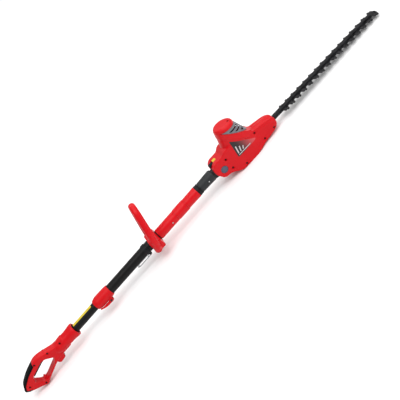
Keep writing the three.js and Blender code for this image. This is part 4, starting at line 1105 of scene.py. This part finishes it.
def make_head():
    slab = joined("head_slab", [prism("y", head_side, -60, 60, arc=8)])
    cut(slab, prism("z", core_plan, -100, 100, arc=8), operation="INTERSECT")
    soft = mesh_solid(slab)
    stations = ((120, 0, 15.5), (212, -9.5, 15.5), (222, -12, 14.5), (228, -14, 12), (230.5, -16, 8))
    ridge = skin([[Vector((x, r * math.cos(a), z + r * 0.95 * math.sin(a)))
                   for a in (2 * math.pi * i / 48 for i in range(48))] for x, z, r in stations])
    flank = prism("y", [(150, 6, 6), (206, -6, 6), (228, -14, 6), (228, -30, 8), (204, -38, 6),
                        (150, -40, 6)], -24.6, 24.6, rim=2.5)
    rib = prism("y", [(18, -36, 6), (46, -50, 8), (110, -50, 8), (140, -46, 8), (206, -38, 6), (206, -44, 6),
                      (140, -53, 8), (112, -58, 8), (48, -58, 8), (26, -47, 6)], -32.6, 32.6, rim=3)
    rib_body = joined("rib_draft", [rib])
    cut(rib_body, prism("z", moved_in(core_plan, -0.9), -100, 100), operation="INTERSECT")
    cheeks = [turned(rounded([(a, 0.01, 0), (a, 22, 3), (b, 22, 3), (b, 0.01, 0)], 5),
                     "y", (0, -PIVOT_DROP)) for a, b in ((-27, -20), (20, 27))]
    tower = joined("tower_draft", [tower_solid()])
    cut(tower, above_belt(-1))
    solids = [soft, ridge, flank, mesh_solid(rib_body), *cheeks, mesh_solid(tower), belt_band()]
    obj = united("head_body", solids)
    fork = prism("y", [(-60, 17), (-60, -100), (21, -100), (21, -2, 6), (12, 17, 8)], -10.6, 10.6)
    caps = [rod("y", 12.9, a, b, (0, -PIVOT_DROP)) for a, b in ((-40, -23), (23, 40))]
    mouth = prism("x", [(-11, -31.5, 1), (11, -31.5, 1), (11, -11, 1), (-11, -11, 1)], 190, 260)
    latch = prism("y", [(-60, 16), (2, 16), (2, 30), (-10.4, 30), (-10.4, 40), (-60, 40)], -8.6, 8.6)
    axle = rod("y", 5.3, -60, 60, (0, -PIVOT_DROP))
    bores = [rod("y", 4.3, -80, 3.5 - half_width(x), (x, z)) for x, z in head_screws]
    hollow = joined("hollow_draft", [tower_solid(3.0)])
    cut(hollow, prism("z", [(0, -50), (200, -50), (200, 50), (0, 50)], -60, 18))
    cut(obj, fork, *caps, mouth, latch, axle, *bores, mesh_solid(hollow), above_belt(0, 150))
    melted(obj, 1.1, 4)
    halves(obj, "head_half", "head", red, "red_plastic",
           {"left": "head_shell_left", "right": "head_shell_right"}, HEAD)


make_head()

# %% [markdown]
# ## Vent cover
# The grey cover closes the tower's front and sides above the belt. Three curved slots on each side let air
# in over the motor, with a small round hole under them. The slots follow the cover round, so they are cut
# by stacked rings.

# %% Vent cover
def tower_ring_space():
    """The flat over the cover's top edge, under the end cap."""
    return skin([tower_ring(TOWER_X, z, 60, 60, TOWER_TILT) for z in (TOWER_TOP, TOWER_TOP + 30)])


def make_vent():
    outside = skin([tower_ring(TOWER_X, 0, 56.8, 32.8, 0), tower_ring(TOWER_X, 34, 51.8, 35.8, TOWER_TILT),
                    tower_ring(TOWER_X, TOWER_TOP, 35.8, 35.8, TOWER_TILT)])
    cover = joined("vent_draft", [outside])
    cut(cover, tower_solid(2.8), tower_ring_space(), slope_space(BELT_TOP, 0.5, -200))
    for k in range(3):
        z = 73 - 12 * k
        slot = skin([tower_ring(TOWER_X, level, 80, 80, TOWER_TILT) for level in (z, z + 5)])
        wedge = joined("slot_draft", [slot])
        back = TOWER_X - 12 + 13 * k
        kept = prism("z", [(back, -70), (260, -70), (260, 70), (back, 70)], -50, 200)
        cut(wedge, kept, operation="INTERSECT")
        cut(wedge, slope_space(BELT_TOP, 6, -200))
        cut(wedge, prism("z", [(0, -4), (260, -4), (260, 4), (0, 4)], -50, 200))
        cut(cover, mesh_solid(wedge))
    cut(cover, *[rod("x", 3.3, TOWER_X + 20, 220, (y, 43)) for y in (-17, 17)])
    melted(cover, 0.8, 2)
    dress(cover, vent, "head", "vent_plastic", "vent_cover", place=HEAD)


make_vent()

# %% [markdown]
# ## End cap
# A thick rounded disc closes the tower. Its rim turns over in a soft roll, and one screw sits in a recess.

# %% End cap
def make_end_cap():
    levels = [(0.5, 34.6), (0.9, 35.3), (2, 35.6), (7, 35.2), (10, 34), (12.4, 31.8), (14, 28.6), (14.8, 24),
              (15.0, 17)]
    rings = [tower_ring(TOWER_X + lift * 0.1, TOWER_TOP + lift, radius, radius, TOWER_TILT)
             for lift, radius in levels]
    obj = joined("end_cap_draft", [skin(rings)])
    inside = skin([tower_ring(TOWER_X, TOWER_TOP - 5, 32, 32, TOWER_TILT),
                   tower_ring(TOWER_X, TOWER_TOP + 7.5, 31.5, 31.5, TOWER_TILT),
                   tower_ring(TOWER_X + 1, TOWER_TOP + 12.4, 26, 26, TOWER_TILT)])
    cut(obj, inside, rod("z", 3.6, TOWER_TOP + 8, TOWER_TOP + 40, (TOWER_X + 22, -10)))
    melted(obj, 0.9, 3)
    dress(obj, red, "head", "red_plastic", "motor_end_cap", place=HEAD)


make_end_cap()

# %% Head screws
head_places = [(x, 3.0 - half_width(x), z) for x, z in head_screws]
head_screw_heads = repeated("head_screws", screw_solids(3.1), head_places, dark_steel)
dress(head_screw_heads, dark_steel, "head", "dark_steel", place=HEAD)

# %% [markdown]
# ## Pivot caps and tilt latch
# Blue-grey caps cover the ends of the pivot axle, each a shallow dome in a groove. The ribbed black latch
# sits at the top of the fork.

# %% Pivot and latch
def make_pivot_parts():
    for side, sign, node in (("left", 1, "pivot_cap_left"), ("right", -1, "pivot_cap_right")):
        dome = [(23.3, 0.01, 0), (23.3, 12.2, 0), (26.6, 12.2, 0.8), (26.6, 9.6, 0.4), (26.2, 9.3, 0.3),
                (27.4, 8.6, 0.8), (27.9, 4, 2), (27.9, 0.01, 0)]
        profile = [(place * sign, radius) for place, radius in rounded(dome)]
        obj = joined(f"pivot_dome_{side}", [turned(profile, "y", (0, -PIVOT_DROP), 96)])
        dress(obj, cap, "head", "grey_plastic", node, place=HEAD)
    body = [(-29, 21, 1), (-12, 21, 1), (-12, 29, 1), (-29, 29, 2)]
    latch = joined("latch_body", [prism("y", body, -8, 8, rim=1)])
    dress(latch, black, "latch", "black_plastic", "tilt_latch", place=HEAD)
    rib = prism("y", [(-0.9, -1, 0), (0.9, -1, 0), (0.7, 1, 0.5), (-0.7, 1, 0.5)], -6.8, 6.8, rim=0.3)
    ribs = repeated("latch_ribs", [rib], [(-26 + 4.2 * k, 0, 29.7) for k in range(3)], black)
    dress(ribs, black, "latch", "black_plastic", place=HEAD)


make_pivot_parts()

# %% [markdown]
# ## Cutting unit
# A ridged bar stiffens two blades that slide over each other. A blade is a flat spine; its teeth are one
# tooth, set along both edges by the repeat tree. A tooth is a tapered outline with ground edges.

# %% Blades
BLADE_Z, BLADE_THICK, SPINE, REACH = -25, 2.4, 9, 26
FIRST_TOOTH, PITCH, TEETH, LOWER_SHIFT = 278, 27.8, 16, 9
LAST_TOOTH = FIRST_TOOTH + (TEETH - 1) * PITCH
BLADE_GAP = 0.15
GEAR_X = 119.25


def tooth(sign, z0, z1):
    corners = [(-10, SPINE - 1.5, 0), (-9, SPINE + 0.5, 1.5), (-5.2, REACH - 3, 2), (-4.2, REACH, 1.5),
               (1.2, REACH, 1.5), (2.4, REACH - 3, 2), (5.6, SPINE + 1, 1.5), (7, SPINE - 1.5, 0)]
    flat = [(u, v * sign, *rest) for u, v, *rest in corners]
    return prism("z", flat, z0, z1, rim=0.55, steps=2, arc=4)


def make_blade(name, node, body, z0, z1, shift):
    end = LAST_TOOTH + 12 + shift / 2
    yoke_back, yoke_front = GEAR_X - 24, GEAR_X + 26
    near = [(yoke_back, 18.5, 3), (yoke_front, 18.5, 6), (yoke_front + 12, SPINE, 4), (end - 6, SPINE, 4),
            (end, SPINE - 4, 3)]
    far = [(x, -y, r) for x, y, r in reversed(near)]
    spine = joined(f"{name}_spine", [prism("z", near + far, z0, z1, rim=0.35, steps=2)])
    window = [(GEAR_X - 18.6, -13.6), (GEAR_X + 18.6, -13.6), (GEAR_X + 18.6, 13.6), (GEAR_X - 18.6, 13.6)]
    cut(spine, prism("z", window, z0 - 1, z1 + 1))
    dress(spine, dark_steel, body, "dark_steel", node, place=HEAD)
    places = [(FIRST_TOOTH + k * PITCH + shift, 0, 0) for k in range(TEETH)]
    teeth = repeated(f"{name}_teeth", [tooth(1, z0, z1), tooth(-1, z0, z1)], places, ground)
    dress(teeth, ground, body, "dark_steel", place=HEAD)


upper_z = BLADE_Z + BLADE_GAP
lower_z = BLADE_Z - BLADE_GAP
make_blade("blade_top", "upper_blade", "top_cutter", upper_z, upper_z + BLADE_THICK, 0)
make_blade("blade_bottom", "lower_blade", "bottom_cutter", lower_z - BLADE_THICK, lower_z, LOWER_SHIFT)


# %% Bar and bolts
def make_bar():
    bottom = BLADE_Z + BLADE_THICK + 0.45
    top = bottom + 9
    start = 147.75
    end = LAST_TOOTH - 8
    side = [(start, bottom, 0), (end, bottom, 0), (end, bottom + 4, 1), (end - 60, top - 1, 20),
            (start, top, 0)]
    bar = joined("bar_draft", [prism("y", side, -40, 40)])
    section = [(-7, bottom - 1, 0), (7, bottom - 1, 0), (7, top - 4, 1), (3.4, top - 0.4, 1.5), (2, top, 0.5),
               (-2, top, 0.5), (-3.4, top - 0.4, 1.5), (-7, top - 4, 1)]
    cut(bar, prism("x", section, start - 1, end + 1), operation="INTERSECT")
    bevel = bar.modifiers.new("edges", "BEVEL")
    bevel.width = 0.5
    bevel.segments = 2
    bevel.limit_method = "ANGLE"
    bevel.angle_limit = math.radians(40)
    evaluated(bar)
    bar.name = "stiffening_bar"
    dress(bar, dark_steel, "head", "dark_steel", "blade_bar", place=HEAD)
    under = BLADE_Z - BLADE_THICK - 0.3
    hexagon = [(5 * math.cos(math.pi / 3 * i), 5 * math.sin(math.pi / 3 * i), 0.4) for i in range(6)]
    head = prism("z", hexagon, under - 2.4, under - 0.15, rim=0.4, steps=2)
    places = [(start + 40 + i * (end - start - 56) / 5, 0, 0) for i in range(6)]
    bolts = repeated("bar_bolts", [head], places, steel)
    dress(bolts, steel, "head", "bright_steel", "blade_bolt_1", "blade_bolt_2", "blade_bolt_3", place=HEAD)
    rivet = turned(rounded([(top - 1, 0.01, 0), (top - 1, 2.6, 0), (top + 0.2, 2.4, 0.6),
                            (top + 0.7, 0.01, 0)], 3), "z", (0, 0), 24)
    rivets = repeated("bar_rivets", [rivet], places[:5], dark_steel)
    dress(rivets, dark_steel, "head", "dark_steel", place=HEAD)


make_bar()

# %% [markdown]
# ## Side decal and hinge sticker
# A triangular decal fades from charcoal to the housing's red on both flanks of the tower, and a small yellow
# sticker sits on the fork's top. Neither carries any lettering: the decal has three plain slanted bars
# over a thin line.

# %% Decals
def decal_material():
    material = finish("decal_film", (0.02, 0.018, 0.018), (0.05, 0.05, 0.05), 0.3, gloss=0.3)
    tree = material.node_tree
    place = chain(tree, "ShaderNodeTexCoord")
    split = chain(tree, "ShaderNodeSeparateXYZ")
    fade = chain(tree, "ShaderNodeMapRange", interpolation_type="SMOOTHSTEP")
    back = (HEAD @ Vector((78, 0, 0))).x
    front = (HEAD @ Vector((146, 0, 0))).x
    fade.inputs["From Min"].default_value = back
    fade.inputs["From Max"].default_value = front
    blend = chain(tree, "ShaderNodeMix", data_type="RGBA")
    blend.inputs["A"].default_value = (0.018, 0.016, 0.016, 1)
    blend.inputs["B"].default_value = (0.62, 0.07, 0.08, 1)
    link = tree.links.new
    link(place.outputs["Object"], split.inputs["Vector"])
    link(split.outputs["X"], fade.inputs["Value"])
    link(fade.outputs["Result"], blend.inputs["Factor"])
    link(blend.outputs["Result"], tree.nodes["Principled BSDF"].inputs["Base Color"])
    return material


decal = decal_material()
pale = finish("decal_pale", (0.55, 0.52, 0.53), (0.7, 0.7, 0.7), 0.35)


def film(name, corners, sign, lift, thick, surface, columns=28):
    """A film laid on the tower's flank: a fine grid inside an outline, pushed onto the surface."""
    loop = outline(corners, 3)
    tidy = bmesh.new()
    tidy.faces.new([tidy.verts.new((p.x, 0, p.y)) for p in loop])
    low, high = min(p.x for p in loop), max(p.x for p in loop)
    bottom, top = min(p.y for p in loop), max(p.y for p in loop)
    for axis, start, end in ((0, low, high), (2, bottom, top)):
        for k in range(1, columns):
            place = Vector((0, 0, 0))
            normal = Vector((0, 0, 0))
            place[axis] = start + (end - start) * k / columns
            normal[axis] = 1
            whole = tidy.verts[:] + tidy.edges[:] + tidy.faces[:]
            bmesh.ops.bisect_plane(tidy, geom=whole, plane_co=place, plane_no=normal)
    for vertex in tidy.verts:
        vertex.co.y = sign * (surface(vertex.co.x, vertex.co.z) + lift)
    bmesh.ops.recalc_face_normals(tidy, faces=tidy.faces)
    if (sum((f.normal for f in tidy.faces), Vector()).y > 0) != (sign > 0):
        bmesh.ops.reverse_faces(tidy, faces=tidy.faces)
    mesh = bpy.data.meshes.new(name)
    tidy.to_mesh(mesh)
    tidy.free()
    obj = new_object(name, mesh)
    wall = obj.modifiers.new("film", "SOLIDIFY")
    wall.thickness = thick
    wall.offset = 1
    return evaluated(obj)


def flank_surface():
    """Half the head's width over any (x, z) of its side, measured on the finished skin."""
    shell = bpy.data.objects["head_half_right"]
    places = [vertex.co for vertex in shell.data.vertices]
    tree = BVHTree.FromPolygons(places, [polygon.vertices for polygon in shell.data.polygons])
    inverse = HEAD.inverted()

    def measure(x, z):
        start = HEAD @ Vector((x, -80, z))
        hit = tree.ray_cast(start, Vector((0, 1, 0)))[0]
        return -(inverse @ hit).y if hit is not None else 33.0
    return measure


def make_decals():
    flank = flank_surface()
    triangle = [(70, 54, 2), (142, -8, 3), (138, -11, 2), (60, -11, 4)]
    bars = [[(73 + 10 * k, 26 - 8 * k, 0.8), (77 + 10 * k, 26 - 8 * k, 0.8), (71 + 10 * k, -1, 0.8),
             (67 + 10 * k, -1, 0.8)] for k in range(3)]
    bars.append([(66, -5, 0.5), (118, -5, 0.5), (116, -7.5, 0.5), (66, -7.5, 0.5)])
    for side, sign in (("right", -1), ("left", 1)):
        sheet = film(f"side_decal_{side}", triangle, sign, 0.05, 0.12, flank)
        dress(sheet, decal, "head", "black_plastic", place=HEAD)
        for k, bar in enumerate(bars):
            stripe = film(f"decal_bar_{side}_{k}", bar, sign, 0.2, 0.08, flank, columns=10)
            dress(stripe, pale, "head", "black_plastic", place=HEAD)
    label = [(-13, -7, 1), (0, -7, 1), (0, 7, 1), (-13, 7, 1)]
    sticker = joined("fork_sticker", [prism("z", label, -0.1, 0.15)])
    sticker.data.transform(Matrix.Translation((4, 0, 31.9)))
    dress(sticker, yellow, "head", "label_yellow", place=HEAD)


make_decals()

# %% [markdown]
# ## CAD pieces that stay
# Pins, bearings, springs, the motor and the gears are right as they are, so they only take a finish.

# %% Dress the remaining CAD nodes
FINISHES = {
    "black_plastic": black,
    "grey_plastic": grey,
    "tube_paint": tube_paint,
    "bright_steel": steel,
    "dark_steel": dark_steel,
    "bearing_brass": brass,
    "winding_copper": copper,
    "red_plastic": red,
    "vent_plastic": vent,
    "grip_rubber": rubber,
    "label_yellow": yellow,
}
slots = {part["node"]: part["material_slot"] for part in frame["record"]["subparts"]}
for node_name, node in frame["nodes"].items():
    if not node.hide_render:
        node.data.materials.clear()
        node.data.materials.append(FINISHES[slots[node_name]])
        print("CAD piece kept:", node_name)
